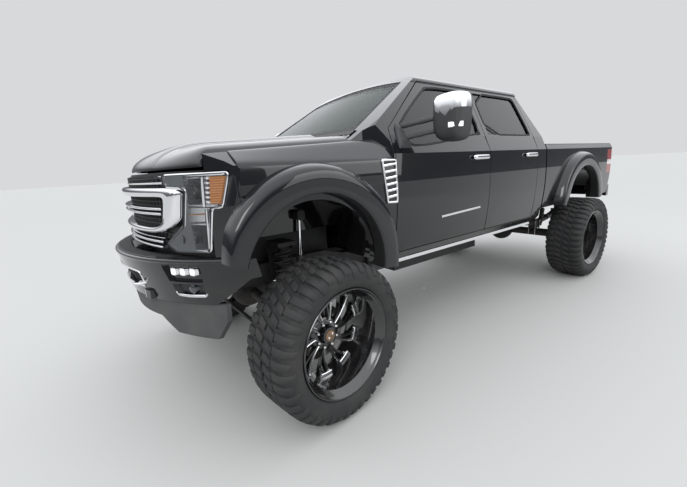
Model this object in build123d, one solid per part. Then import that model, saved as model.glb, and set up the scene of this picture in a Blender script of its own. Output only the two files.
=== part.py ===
from build123d import *
import os
from math import asin, cos, degrees, radians, sin, sqrt

# Heavy-duty crew cab pickup truck, lifted on large tyres. Millimetres.
# +X is the vehicle's left, -Y its front, +Z up, and the ground is z = 0.
# Stations (y in this file) are measured rearwards from the front axle, and
# save() moves every piece so that the origin is under the middle of the truck.

# Overall sizes
FRONT_OVERHANG = 970
CAB_FRONT = 712
FRONT_DOOR_LENGTH = 1220
REAR_DOOR_LENGTH = 930
CAB_TAIL = 200
CAB_TO_AXLE = 997
REAR_OVERHANG = 1321
BUMPER_REACH = 190
BED_GAP = 24
DOOR_SPLIT = CAB_FRONT + FRONT_DOOR_LENGTH
REAR_DOOR_END = DOOR_SPLIT + REAR_DOOR_LENGTH
CAB_REAR = REAR_DOOR_END + CAB_TAIL
WHEELBASE = CAB_REAR + CAB_TO_AXLE
REAR_END = WHEELBASE + REAR_OVERHANG
FRONT_AXLE_Y = (FRONT_OVERHANG - REAR_END) / 2
BEYOND = REAR_END + 600

# Clearances
SHUT_GAP = 6
SEAT = 0.3

# Wheels and tyres
TYRE_RADIUS = 508
TYRE_WIDTH = 400
LUG_HEIGHT = 20
LUG_COUNT = 22
LUG_LENGTH = 50
LUG_ROOT = 12
RIM_LIP_RADIUS = 348
BARREL_RADIUS = 312
RIM_WIDTH = 364
BEAD_RADIUS = 332
WHEEL_X = 1045
MOUNT_X = 965
HUB_RADIUS = 95
DISC_RADIUS = 185
SPOKE_COUNT = 8
KINGPIN_X = 850
PARKED_STEER = 7
STEER_ARM = 230
TIE_ROD_Z = 470

# Body heights above the ground and half widths
FLOOR_BOTTOM_Z = 845
FLOOR_TOP_Z = 935
DOOR_BOTTOM_Z = 915
ROCKER_X = (885, 930)
ROCKER_Z = (818, FLOOR_BOTTOM_Z - SEAT)
CREASE_X = 1006
CREASE_Z = 1640
BELT_Z = 1775
BELT_X = 948
CANT_X = 745
CANT_Z = 2205
ROOF_CROWN_Z = 2338
BODY_X = 1012
DOOR_INNER_X = 868
WALL = 55
ROOF_TAIL = 232
TUMBLE = (BELT_X - CANT_X) / (CANT_Z - BELT_Z)

# Doors in side view
DOOR_TOP_Z = 2215
WINDOW_TOP_Z = DOOR_TOP_Z - 35
SAIL_RUN = 8
PILLAR_RUN = 520
REAR_DOOR_SLOPE = 72
GLASS_THICK = 5
HINGE_X = BODY_X
HINGE_PIN_Z = (1400, 1470)
PIN_AHEAD = 2
PIN_RADIUS = 2.2
STEERING_X = 400
MIRROR_BACK = 245
MIRROR_LOW_Z = 1712
GLASS_INSET = 14

# Hood and fenders
HOOD_HALF = 870
HOOD_EDGE_Z = 1746
HOOD_CROWN_Z = 1848
HOOD_REAR_CENTRE = 385
HOOD_REAR_SIDE = 400
HOOD_LIP_Z = 1606
HOOD_SKIN = 35
NOSE_DROP = 0.06
HOOD_HINGE_Y = HOOD_REAR_SIDE + 100
HOOD_HINGE_Z = 1755
FENDER_CREASE_Z = 1604
FENDER_SKIN = 45
FENDER_REAR = CAB_FRONT - 8
APRON_X = 560
APRON_THICK = 12

# Nose and bumper in plan: arcs from the centre line to each side
BUMPER_CENTRE = -FRONT_OVERHANG
BUMPER_SIDE = (990, BUMPER_CENTRE + 520)
NOSE_CENTRE = BUMPER_CENTRE + 65
NOSE_SIDE = (961, NOSE_CENTRE + 415)
NOSE_FLAT = (620, 50)
HOOD_LIP_CENTRE = NOSE_CENTRE + 120
HOOD_LIP_SIDE = (HOOD_HALF, NOSE_CENTRE + 315)
AHEAD = BUMPER_CENTRE - 60
BUMPER_TOP_Z = 1100
BUMPER_BOTTOM_Z = 832
BUMPER_SKIN = 60
BUMPER_LEAN = -0.22
AIR_DAM_BOTTOM_Z = 600
AIR_DAM_LEAN = -0.12
CARRIER_NEAR = 62
CARRIER_FAR = 110
CARRIER_BOTTOM_Z = 1120
CARRIER_TOP_Z = 1592
RADIATOR_Y = NOSE_CENTRE + 265
LAMP_INNER_X = 640
LAMP_TOP_Z = 1576
LAMP_BOTTOM_Z = 1150

# Windscreen: a plan arc swept back up the rake
SCREEN_CENTRE = 430
SCREEN_SIDE = (890, 550)
SCREEN_BASE_Z = 1820
SCREEN_RAKE = 1.65
SCREEN_INSET = 12
SCREEN_WALL = 95

# Wheel arches
ARCH_RADIUS = 500
ARCH_Z = 885
FLARE_RADIUS = 657
FLARE_Z = 942
FLARE_X = 1095

# Bed
BED_FRONT = CAB_REAR + BED_GAP
BED_REAR = REAR_END - BUMPER_REACH
BED_RAIL_Z = 1690
BED_SIDE_BOTTOM_Z = 986
BED_FLOOR_Z = 1185
BED_FLOOR_THICK = 45
BED_INNER_X = 850
BED_SKIRT = 45
TUB_X = 640
TUB_TOP_Z = 1430
TAILGATE_X = 800
TAILGATE_THICK = 60
TAILGATE_HINGE_Z = 1205
TAIL_LAMP_Z = (1287, 1613)

# Frame rails and running gear
RAIL_IN_X = 345
RAIL_OUT_X = 425
RAIL_HEIGHT = 145
RAIL_FRONT = NOSE_CENTRE + 165
RAIL_TOP_FRONT = 900
RAIL_TOP_CAB = FLOOR_BOTTOM_Z - SEAT
RAIL_TOP_REAR = 1010
ENGINE_REAR = CAB_FRONT - 152
MEMBER_GEARBOX = DOOR_SPLIT - 682
MEMBER_CENTRE = DOOR_SPLIT + 118
MEMBER_CAB = REAR_DOOR_END - 12
MEMBER_AXLE = WHEELBASE - 559
MEMBER_SPARE = WHEELBASE + 561
AXLE_TUBE = 48
COIL_X = 540
YOKE_HALF = 110
RECEIVER = 64
RECEIVER_Z = 860
RECEIVER_END = REAR_END - 50
HITCH_PIN_Y = RECEIVER_END - 60
LEAF_X = 485


# Helpers

def outline(points, place):
    """Flat face. (u, v) draws a line to that point, and (a, b, u, v) an arc through (a, b)."""
    edges = []
    last = points[0][-2:]
    for point in [*points[1:], points[0]]:
        end = point[-2:]
        if len(point) == 4 and point is not points[0]:
            edges.append(ThreePointArc(place(*last), place(*point[:2]), place(*end)))
        elif end != last:
            edges.append(Line(place(*last), place(*end)))
        last = end
    return Face(Wire(edges))


def side(points, x0, x1):
    """Side-view outline (y, z) carried across the truck from x0 to x1."""
    return extrude(outline(points, lambda y, z: (x0, y, z)), amount=x1 - x0, dir=(1, 0, 0))


def front(points, y0, y1, drop=0):
    """Front-view outline (x, z) drawn at y0 and carried to y1, falling by drop per millimetre."""
    run = Vector(0, 1, drop) * (y1 - y0)
    return extrude(outline(points, lambda x, z: (x, y0, z)), amount=run.length, dir=run.normalized())


def plan(points, z0, z1, lean_y=0, lean_x=0):
    """Plan outline (x, y) drawn at z0 and carried to z1, leaning per millimetre of height."""
    run = Vector(lean_x, lean_y, 1) * (z1 - z0)
    return extrude(outline(points, lambda x, y: (x, y, z0)), amount=run.length, dir=run.normalized())


def box(x0, x1, y0, y1, z0, z1):
    """Box between two corners."""
    return Pos((x0 + x1) / 2, (y0 + y1) / 2, (z0 + z1) / 2) * Box(x1 - x0, y1 - y0, z1 - z0)


def rod(start, end, radius):
    """Round bar between two points."""
    run = Vector(*end) - Vector(*start)
    along = Plane(origin=start, z_dir=run.normalized())
    return along * Cylinder(radius, run.length, align=(Align.CENTER, Align.CENTER, Align.MIN))


def turned(points, x, y, z):
    """Profile (x along the axis, radius) turned about a line along X through (y, z)."""
    face = outline(points, lambda along, r: (x + along, y, z + r))
    return revolve(face, axis=Axis((x, y, z), (1, 0, 0)), revolution_arc=360)


def flip(shape):
    """Mirror image on the other side of the truck."""
    return mirror(shape, about=Plane.YZ)


def both(shape):
    """A left-hand piece together with its mirror image, as separate solids."""
    return Compound(children=[*shape.solids(), *flip(shape).solids()])


def save(name, shape):
    """Write one piece, moved from axle stations to the truck's own origin."""
    moved = [Pos(0, FRONT_AXLE_Y, 0) * solid for solid in shape.solids()]
    whole = moved[0] if len(moved) == 1 else Compound(children=moved)
    export_step(whole, f"parts/{name}.step")


# Body surfaces that several pieces share

def body_side(grow=0):
    """Right-hand cross-section (x, z) from the sill up to the roof rail."""
    return [(925 + grow, FLOOR_BOTTOM_Z), (968 + grow, 905),
            (1002 + grow, 1150, BODY_X + grow, 1440), (CREASE_X + grow, CREASE_Z),
            (BELT_X + grow, BELT_Z), (CANT_X + grow, CANT_Z), (732 + grow, 2243, 690 + grow, 2262)]


def mirrored(half, crown_z):
    """Closed section from its right-hand half, with an arc over the top through crown_z."""
    left = [(0, crown_z, -half[-1][-2], half[-1][-1])]
    for here, above in zip(reversed(half[:-1]), reversed(half)):
        arc = (-above[0], above[1]) if len(above) == 4 else ()
        left.append((*arc, -here[-2], here[-1]))
    return [*half, *left]


def body_block(y0, y1, grow=0):
    """Solid with the body's full cross-section."""
    return front(mirrored(body_side(grow), ROOF_CROWN_Z + grow), y0, y1)


def cavity(y0, y1, grow=0):
    """Room inside the cab, within the doors and under the roof."""
    belt, cant = BELT_X - WALL + grow, CANT_X - WALL + grow
    half = [(DOOR_INNER_X - 20 + grow, FLOOR_TOP_Z), (DOOR_INNER_X + grow, FLOOR_TOP_Z + 20),
            (DOOR_INNER_X + grow, BELT_Z - 25), (belt, BELT_Z), (cant, CANT_Z - 15), (cant - 45, CANT_Z + 15)]
    return front(mirrored(half, ROOF_CROWN_Z - 48 + grow), y0, y1)


def bow_line(centre, corner, setback, flat=None, way=1):
    """Plan points of a bow that ends at the left, or at the right with way -1; flat is (x, how much flatter)."""
    x, y = corner
    if flat is None:
        return [(-x * way, y + setback), (0, centre + setback, x * way, y + setback)]
    s, less = flat
    depth = y - centre
    radius = (x ** 2 + depth ** 2) / (2 * depth)
    inner, outer = (centre + setback + radius - sqrt(radius ** 2 - at ** 2) for at in (s, (s + x) / 2))
    m = (s + x) / 2
    return [(-x * way, y + setback), (-m * way, outer, -s * way, inner),
            (0, centre + less + setback, s * way, inner), (m * way, outer, x * way, y + setback)]


def behind_arc(centre, corner, setback, z0, z1, lean=0, flat=None):
    """Everything behind a bowed plan line."""
    x, y = corner
    y += setback
    points = [(x, y), (x + 300, y + 200), (x + 300, BEYOND), (-x - 300, BEYOND), (-x - 300, y + 200)]
    return plan(points + bow_line(centre, corner, setback, flat), z0, z1, lean)


def arc_band(centre, corner, near, far, z0, z1, lean=0, flat=None):
    """Bowed wall between two setbacks of a plan arc."""
    points = bow_line(centre, corner, near, flat) + bow_line(centre, corner, far, flat, -1)
    return plan(points, z0, z1, lean)


def behind_nose(setback=0):
    """Everything behind the nose."""
    return behind_arc(NOSE_CENTRE, NOSE_SIDE, setback, 800, 1800, 0, NOSE_FLAT)


def nose_band(near, far, z0=1100, z1=1600):
    """Wall between two setbacks of the nose."""
    return arc_band(NOSE_CENTRE, NOSE_SIDE, near, far, z0, z1, 0, NOSE_FLAT)


def behind_screen(setback=0):
    """Everything behind the windscreen's outer surface."""
    low = FLOOR_BOTTOM_Z - 10
    start = setback - (SCREEN_BASE_Z - low) * SCREEN_RAKE
    return behind_arc(SCREEN_CENTRE, SCREEN_SIDE, start, low, ROOF_CROWN_Z + 60, SCREEN_RAKE)


def arch_tool(station, x0, x1, radius=ARCH_RADIUS):
    """Wheel-arch opening: round above its centre and a little wider below it."""
    splay = radius + 40
    low = 500
    points = [(station - radius, ARCH_Z), (station, ARCH_Z + radius, station + radius, ARCH_Z),
              (station + splay, ARCH_Z - 80), (station + splay, low), (station - splay, low),
              (station - splay, ARCH_Z - 80)]
    return side(points, x0, x1)


def door_outline(name, grow=0):
    """Side-view outline (y, z) of a door, grown outwards."""
    g = grow
    if name == "front":
        sail = CAB_FRONT + SAIL_RUN - g
        return [(CAB_FRONT - g, DOOR_BOTTOM_Z - g), (DOOR_SPLIT - SHUT_GAP / 2 + g, DOOR_BOTTOM_Z - g),
                (DOOR_SPLIT - SHUT_GAP / 2 + g, DOOR_TOP_Z + g), (sail + PILLAR_RUN, DOOR_TOP_Z + g),
                (sail, BELT_Z + 45), (CAB_FRONT - g, BELT_Z - 10)]
    return [(DOOR_SPLIT + SHUT_GAP / 2 - g, DOOR_BOTTOM_Z - g), (REAR_DOOR_END + g, DOOR_BOTTOM_Z - g),
            (REAR_DOOR_END + g, BELT_Z), (REAR_DOOR_END - REAR_DOOR_SLOPE + g, DOOR_TOP_Z + g),
            (DOOR_SPLIT + SHUT_GAP / 2 - g, DOOR_TOP_Z + g)]


def door_zone(name, grow=0):
    """Space that a door takes up, from the skin in to the trim and the window frame."""
    zone = side(door_outline(name, grow), 560, 1200)
    return zone - box(0, DOOR_INNER_X - grow, 0, CAB_REAR, 0, BELT_Z - 60)


def window_outline(name, grow=0):
    """Side-view outline (y, z) of a door's glass."""
    g = grow
    low = BELT_Z + 12 - g
    high = WINDOW_TOP_Z + g
    if name == "front":
        y0, y1 = CAB_FRONT, DOOR_SPLIT - 66 + g
        return [(y0 + 150 - g, BELT_Z - 82 - g), (y0 + 420, BELT_Z - 74 - g), (y0 + 820, BELT_Z - 18 - g),
                (y0 + 1040, low), (y1, low), (y1 - 22, high - 30), (y1 - 30, high - 8, y1 - 55, high),
                (y0 + 640 - g, high), (y0 + 588 - g, high - 8, y0 + 540 - g, high - 42),
                (y0 + 160 - g, BELT_Z + 100), (y0 + 138 - g, BELT_Z + 75, y0 + 132 - g, BELT_Z + 45)]
    y0, y1 = DOOR_SPLIT + 60 - g, REAR_DOOR_END - 55 + g
    return [(y0, low), (y1 - 20, low), (y1 - 4, low + 6, y1, low + 30), (y1 - 58, high - 55),
            (y1 - 75, high - 14, y1 - 125, high), (y0, high)]


def screen_outline(grow=0):
    """Front-view outline (x, z) of the windscreen's glass."""
    g = grow
    return [(-790 - g, 1818 - g), (790 + g, 1818 - g), (646 + g, 2226 + g), (0, 2266 + g, -646 - g, 2226 + g)]


def back_glass_outline(grow=0):
    """Front-view outline (x, z) of the rear window's glass."""
    g = grow
    return [(-700 - g, 1815 - g), (700 + g, 1815 - g), (600 + g, 2170 + g), (-600 - g, 2170 + g)]


def cab_profile(inset=0):
    """Side-view outline (y, z) of the cab."""
    i = inset
    front, rear = HOOD_REAR_CENTRE, CAB_REAR - i
    top = rear - ROOF_TAIL
    header = SCREEN_CENTRE + (2283 - SCREEN_BASE_Z) * SCREEN_RAKE
    return [(CAB_FRONT, FLOOR_BOTTOM_Z + i), (rear, FLOOR_BOTTOM_Z + i), (rear, BELT_Z), (top, CANT_Z),
            (top - 22, 2268 - i, top - 100, 2300 - i), ((top + header) / 2 - 60, 2345 - i, header, 2283 - i),
            (front, 2283 - i), (front, 1560), (CAB_FRONT, 1560)]


def ahead_of_cowl(gap):
    """Room over the fenders and ahead of the cowl, up to a gap behind the hood's rear edge."""
    ahead = box(-HOOD_HALF, HOOD_HALF, HOOD_REAR_CENTRE - 100, CAB_FRONT, 1500, 1900)
    return ahead - behind_arc(HOOD_REAR_CENTRE, (HOOD_HALF, HOOD_REAR_SIDE), gap, 1400, 2000)


# Cab

def make_cab():
    """Floor, firewall, cowl, pillars, roof and rear wall in one hollow shell."""
    shell = body_block(HOOD_REAR_CENTRE, CAB_REAR) & side(cab_profile(), -1100, 1100) & behind_screen()
    fender_room = box(HOOD_HALF, 1200, 0, CAB_FRONT, 0, FENDER_CREASE_Z)
    fender_room = fender_room + fender_block(-SHUT_GAP, HOOD_HALF, CAB_FRONT)
    foot = plan([(HOOD_HALF, 300), (HOOD_HALF, CAB_FRONT - 190), (HOOD_HALF + 100, CAB_FRONT - 20),
                 (1200, CAB_FRONT - 20), (1200, 300)], FENDER_CREASE_Z - 10, 2000)
    fender_room = fender_room + foot
    shell = shell - fender_room - flip(fender_room) - ahead_of_cowl(2 * SHUT_GAP)
    room = cavity(CAB_FRONT + WALL, CAB_REAR - WALL)
    over_dash = box(-1000, 1000, CAB_FRONT - 150, CAB_FRONT + 600, BELT_Z - 30, 2300)
    room = room + (cavity(CAB_FRONT - 150, CAB_FRONT + 600) & over_dash)
    shell = shell - (room & behind_screen(SCREEN_WALL) & side(cab_profile(WALL), -1100, 1100))
    shell = shell - front(screen_outline(SEAT), HOOD_REAR_CENTRE, DOOR_SPLIT - 300)
    shell = shell - front(back_glass_outline(SEAT), DOOR_SPLIT + 300, CAB_REAR + 100)
    for name in ("front", "rear"):
        opening = door_zone(name, SHUT_GAP)
        shell = shell - opening - flip(opening)
    post = side([(DOOR_SPLIT - 60, FLOOR_TOP_Z - 10), (DOOR_SPLIT + 70, FLOOR_TOP_Z - 10),
                 (DOOR_SPLIT + 50, DOOR_TOP_Z + 30), (DOOR_SPLIT - 40, DOOR_TOP_Z + 30)], 400, 1100)
    trim = cavity(DOOR_SPLIT - 300, DOOR_SPLIT + 300, -8) - cavity(DOOR_SPLIT - 301, DOOR_SPLIT + 301, -68)
    post = post & trim
    for name in ("front", "rear"):
        post = post + hinge_straps(name)
    x0, x1, y, z = HOOD_HALF - 50, HOOD_HALF - 36, HOOD_HINGE_Y, HOOD_HINGE_Z
    hinge = both(rod((x0, y, z), (x1, y, z), 12))
    hinge_well = box(x0 - 16, x0 + 6, HOOD_REAR_SIDE - 20, y + 18, z - 40, BELT_Z + 60)
    half = DOOR_INNER_X - 8
    firewall = box(-half, half, CAB_FRONT - 95, CAB_FRONT + 10, FLOOR_TOP_Z - 40, 1600)
    toe = box(-half, half, CAB_FRONT - 5, CAB_FRONT + WALL, FLOOR_TOP_Z - 90, 1600)
    return (shell - hinge_well - flip(hinge_well)) + post + flip(post) + firewall + toe + hinge


def make_windscreen():
    """Bowed glass that fills its opening."""
    pane = behind_screen(SCREEN_INSET) - behind_screen(SCREEN_INSET + 10)
    return pane & front(screen_outline(), HOOD_REAR_CENTRE, DOOR_SPLIT - 300)


def make_rear_window():
    """Flat glass in the cab's rear slope."""
    top = CAB_REAR - ROOF_TAIL
    line = [(CAB_REAR - 12, BELT_Z), (CAB_REAR - 4, BELT_Z), (top - 4, CANT_Z), (top - 12, CANT_Z)]
    return side(line, -900, 900) & front(back_glass_outline(), DOOR_SPLIT + 300, CAB_REAR + 100)


def make_rocker_trims():
    """Bright strip along the bottom edge of each sill."""
    strip = box(ROCKER_X[0], ROCKER_X[1], FENDER_REAR + 10, CAB_REAR - 140, ROCKER_Z[0], ROCKER_Z[1])
    return both(strip)


# Inside the cab

def make_dashboard():
    """Dashboard across the firewall, with the centre console behind it."""
    y = CAB_FRONT + WALL + SEAT
    low = FLOOR_TOP_Z + SEAT
    half = DOOR_INNER_X - 8
    roll = side([(y, 1200), (y + 170, 1190), (y + 250, 1330), (y + 295, 1450, y + 288, 1560),
                 (y + 260, 1655, y + 110, 1700), (y, 1710)], -half, half)
    console = side([(y + 140, low), (y + 960, low), (y + 960, 1210), (y + 510, 1225), (y + 270, 1330),
                    (y + 140, 1330)], -140, 140)
    return roll + console


def make_steering_wheel():
    """Rim, three spokes, hub and column on the left-hand side."""
    y, z = CAB_FRONT + 475, 1595
    tilt = Pos(STEERING_X, y, z) * Rot(-65, 0, 0)
    rim = tilt * Torus(185, 15)
    hub = tilt * Cylinder(62, 40)
    spokes = tilt * (Box(350, 34, 16) + Pos(0, -90, 0) * Box(34, 180, 16))
    column = rod((STEERING_X, y, z), (STEERING_X, y - 180, z - 84), 34)
    return (rim + hub + spokes + column) - Pos(0, SEAT, 0) * make_dashboard()


def seat(y, width, x, back_top):
    """One seat as a padded L with its base on the floor."""
    z = FLOOR_TOP_Z + SEAT
    return side([(y + 60, z), (y + 430, z), (y + 440, 1150), (y + 560, 1190), (y + 570, 1250),
                 (y + 700, back_top - 40), (y + 690, back_top, y + 650, back_top),
                 (y + 600, back_top, y + 585, back_top - 60), (y + 500, 1330), (y + 440, 1300), (y + 60, 1325),
                 (y, 1320, y, 1280), (y + 10, 1180), (y + 60, 1150)], x - width / 2, x + width / 2)


def make_front_seats():
    """Two front seats with headrests."""
    y = DOOR_SPLIT - 600
    pieces = seat(y, 540, 430, 1890)
    rest = side([(y + 615, 1900), (y + 675, 1900), (y + 695, 2040), (y + 675, 2065, y + 640, 2050),
                 (y + 620, 2030)],
                300, 560)
    posts = rod((370, y + 655, 1880), (370, y + 660, 1910), 8) + rod((490, y + 655, 1880), (490, y + 660, 1910), 8)
    return both(pieces + rest + posts)


def make_rear_seat():
    """Rear bench."""
    return seat(REAR_DOOR_END - 670, 1440, 0, 1800)


# Doors

def hinge_y(name):
    """Station of a door's hinge line, in the gap ahead of the door."""
    edge = CAB_FRONT if name == "front" else DOOR_SPLIT + SHUT_GAP / 2
    return edge - PIN_AHEAD


def hinge_straps(name):
    """Two straps that reach out of the pillar, above and below a left-hand door's pin."""
    y = hinge_y(name)
    tip = HINGE_X + 1.4
    shape = [(820, y - 14), (955, y - 4.3), (tip, y - 0.8), (tip, y + 0.8), (820, y + 0.8)]
    low, high = HINGE_PIN_Z
    return plan(shape, low - 12, low - SEAT) + plan(shape, high + SEAT, high + 12)


def rear_wedge(name):
    """What the door's rear edge gives up so that it swings clear of the next pillar."""
    bottom = DOOR_SPLIT - SHUT_GAP / 2 if name == "front" else REAR_DOOR_END
    swept = 0 if name == "front" else -REAR_DOOR_SLOPE / (DOOR_TOP_Z - BELT_Z)
    x = BODY_X
    low = plan([(x + 10, bottom), (x + 10, bottom + 80), (x - 180, bottom + 80), (x - 180, bottom - 28),
                (x - 6, bottom)], DOOR_BOTTOM_Z - 20, BELT_Z)
    x = BELT_X
    high = plan([(x + 60, bottom), (x + 60, bottom + 80), (x - 200, bottom + 80), (x - 200, bottom - 88),
                 (x - 4, bottom)], BELT_Z, DOOR_TOP_Z + 60, swept, -TUMBLE)
    return low + high


def make_door(name):
    """Left-hand door: the whole thickness of the wall, with its window cut and its handle on."""
    panel = (body_block(CAB_FRONT - 50, CAB_REAR) - cavity(CAB_FRONT - 60, CAB_REAR + 10)) & door_zone(name)
    panel = panel - rear_wedge(name)
    panel = panel - side(window_outline(name, SEAT), 560, 1100)
    y = hinge_y(name)
    pin = rod((HINGE_X, y, HINGE_PIN_Z[0]), (HINGE_X, y, HINGE_PIN_Z[1]), PIN_RADIUS)
    rear_edge = DOOR_SPLIT - SHUT_GAP / 2 if name == "front" else REAR_DOOR_END
    grip = side([(rear_edge - 265, 1572), (rear_edge - 65, 1572), (rear_edge - 55, 1588), (rear_edge - 65, 1604),
                 (rear_edge - 265, 1604), (rear_edge - 275, 1588)], 1016, 1034)
    posts = box(990, 1020, rear_edge - 262, rear_edge - 232, 1576, 1600)
    posts = posts + box(990, 1020, rear_edge - 98, rear_edge - 68, 1576, 1600)
    return panel + pin + grip + posts


def make_door_glass(name):
    """Left-hand door glass, a little inside the door's skin."""
    y0, y1 = CAB_FRONT, CAB_REAR
    pane = body_block(y0, y1, -GLASS_INSET) - body_block(y0 - 1, y1 + 1, -GLASS_INSET - GLASS_THICK)
    return pane & side(window_outline(name), 560, 1100)


def make_mirror():
    """Left-hand tow mirror: base on the door, two arms, and the tall head."""
    y, z = CAB_FRONT + MIRROR_BACK, MIRROR_LOW_Z
    skin = body_block(CAB_FRONT, DOOR_SPLIT, SEAT)
    base = side([(y - 195, z - 36), (y - 60, z - 36), (y - 85, z + 50), (y - 130, z + 150), (y - 175, z + 120)],
                870, 1030)
    base = base & body_block(CAB_FRONT, DOOR_SPLIT, 26) - skin
    arms = rod((920, y - 125, z + 20), (1130, y + 50, z + 72), 19)
    arms = arms + rod((900, y - 130, z + 115), (1130, y + 45, z + 160), 21) - skin
    head = front([(1110, z), (1300, z - 10), (1345, z + 40), (1350, z + 240), (1340, z + 310, 1290, z + 322),
                  (1150, z + 322), (1108, z + 305, 1105, z + 260)], y, y + 145)
    head = head & plan([(1095, y + 60), (1150, y + 10), (1225, y - 5, 1315, y + 30), (1355, y + 90),
                        (1355, y + 150), (1095, y + 150)], z - 20, z + 340)
    face = front([(1128, z + 22), (1290, z + 12), (1324, z + 50), (1328, z + 250), (1285, z + 300),
                  (1155, z + 300), (1124, z + 260)], y + 138, y + 150)
    return base + arms + head - face


# Hood, fenders, flares

def hood_section():
    """Left-hand half (x, z) of the hood's top at its rear edge."""
    z = HOOD_EDGE_Z
    return [(HOOD_HALF, HOOD_LIP_Z - 200), (HOOD_HALF, z), (HOOD_HALF - 45, z + 38), (680, z + 58, 480, z + 70),
            (410, HOOD_CROWN_Z - 10)]


def hood_block():
    """Hood down to its lip, before it is hollowed."""
    top = front(mirrored(hood_section(), HOOD_CROWN_Z), 640, AHEAD, NOSE_DROP)
    lip = HOOD_LIP_CENTRE
    profile = [(640, HOOD_LIP_Z), (640, 2000), (lip + 430, 2000), (lip + 430, HOOD_CROWN_Z - 50),
               (lip + 145, 1737, lip + 8, HOOD_LIP_Z + 34), (lip, HOOD_LIP_Z)]
    return top & side(profile, -900, 900) & behind_arc(lip, HOOD_LIP_SIDE, 0, 1500, 1900)


def make_hood():
    """Hood panel with its raised centre, a lip at the nose and two hinge ears."""
    solid = hood_block()
    panel = solid - Pos(0, HOOD_SKIN + 5, -HOOD_SKIN) * solid
    ahead = behind_arc(HOOD_REAR_CENTRE, (HOOD_HALF, HOOD_REAR_SIDE), 0, 1300, 1900)
    panel = panel - ahead
    ear_x = HOOD_HALF - 50 - 12 - SEAT
    y, z = HOOD_HINGE_Y, HOOD_HINGE_Z
    ear = side([(y - 160, z - 22), (y - 160, z + 3), (y - 15, z + 3), (y, z + 12), (y + 12, z), (y, z - 12),
                (y - 75, z - 20)], ear_x, ear_x + 12)
    return panel + ear + flip(ear)


def fender_block(inset=0, inner=HOOD_HALF + SHUT_GAP, rear=FENDER_REAR):
    """Left-hand fender as a block: level crease, and a shoulder that rises along the hood's edge."""
    sections = []
    for y in (rear, AHEAD):
        edge = HOOD_EDGE_Z + (y - 640) * NOSE_DROP - inset * 1.3
        points = [(inner, 800), (925 - inset, 800), (925 - inset, FLOOR_BOTTOM_Z), (968 - inset, 905),
                  (1002 - inset, 1150, BODY_X - inset, 1440), (1004 - inset, FENDER_CREASE_Z - inset / 2),
                  (inner, edge)]
        sections.append(outline(points, lambda x, z: (x, y, z)))
    return loft(sections, ruled=True)


def lamp_outline(grow=0):
    """Front-view outline (x, z) of a headlamp."""
    g = grow
    return [(LAMP_INNER_X - g, LAMP_TOP_Z + g), (1050, LAMP_TOP_Z + g), (1050, 1398 - g), (892 + g, 1392 - g),
            (858 + g, LAMP_BOTTOM_Z - g), (660 - g, LAMP_BOTTOM_Z - g), (600 - g, 1194), (722 - g, 1296),
            (757 - g, 1490), (726 - g, 1522), (LAMP_INNER_X - g, 1514)]


def lamp_side(grow=0):
    """Side-view outline (y, z) that ends a headlamp behind."""
    g = grow
    low, high = NOSE_CENTRE + 308 + g, NOSE_CENTRE + 423 + g
    return [(AHEAD, 1100), (low, 1100), (low, LAMP_BOTTOM_Z), (high, LAMP_TOP_Z), (high, 1700), (AHEAD, 1700)]


def make_fenders():
    """Outer skins, inner aprons and arch liners."""
    skin = fender_block() - fender_block(FENDER_SKIN)
    skin = skin + (box(HOOD_HALF + SHUT_GAP, 970, AHEAD, FENDER_REAR, 1585, 1650) & fender_block())
    face = fender_block() & box(HOOD_HALF, BODY_X, AHEAD, NOSE_CENTRE + 600, 1100, 1400) - behind_nose(40)
    skin = (skin + face) & behind_nose()
    skin = skin - arch_tool(0, 700, 1200)
    lamp = front(lamp_outline(5), AHEAD, 0) & side(lamp_side(5), 500, 1200)
    skin = skin - lamp - box(700, 1200, AHEAD, NOSE_CENTRE + 605, 0, BUMPER_TOP_Z + 22)
    ring = side([(-572, ARCH_Z), (0, ARCH_Z + 572, 572, ARCH_Z), (560, ARCH_Z), (0, ARCH_Z + 560, -560, ARCH_Z)],
                APRON_X, 960)
    ring = ring - box(500, 1000, -600, -200, 800, BUMPER_TOP_Z + 22) - box(500, 1000, -600, -500, 800, 1600)
    apron = box(APRON_X, APRON_X + APRON_THICK, RADIATOR_Y + 40 + SEAT, CAB_FRONT - 95 - SEAT, 1130, 1520)
    shelf = box(APRON_X, HOOD_HALF + 40, -500, CAB_FRONT - 95 - SEAT, 1508, 1520)
    wall = box(HOOD_HALF + SHUT_GAP, HOOD_HALF + 30, -470, 500, 1508, 1600)
    inner = (ring + apron + shelf + wall) & (fender_block() + box(400, HOOD_HALF + 30, -900, 700, 880, 1530))
    return both(skin + (inner - lamp))


def make_flares():
    """Wide flares round all four arches, each seated on the body's skin."""
    pieces = []
    for station in (0, WHEELBASE):
        base = Plane(origin=(960, station, FLARE_Z), x_dir=(0, 1, 0), z_dir=(1, 0, 0))
        height = FLARE_X - 960
        low = (Align.CENTER, Align.CENTER, Align.MIN)
        cone = base * Cone(FLARE_RADIUS + 25, FLARE_RADIUS - 95, height, align=low)
        ring = cone - arch_tool(station, 900, 1200) - box(900, 1200, station - 900, station + 900, 0, 855)
        ring = ring - body_block(AHEAD, REAR_END, SEAT)
        if station == 0:
            ring = ring - fender_block(-SEAT)
            n = NOSE_CENTRE
            ring = ring - side([(AHEAD, 500), (n + 505, 500), (n + 465, BUMPER_TOP_Z), (n + 315, BUMPER_TOP_Z),
                                (n + 435, LAMP_TOP_Z), (n + 435, 1800), (AHEAD, 1800)], 900, 1200)
        else:
            ring = ring - box(900, 1200, station - 900, station + 900, 0, BED_SIDE_BOTTOM_Z)
        pieces += [*both(max(ring.solids(), key=lambda s: s.volume)).solids()]
    return Compound(children=pieces)


# Front end

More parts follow.
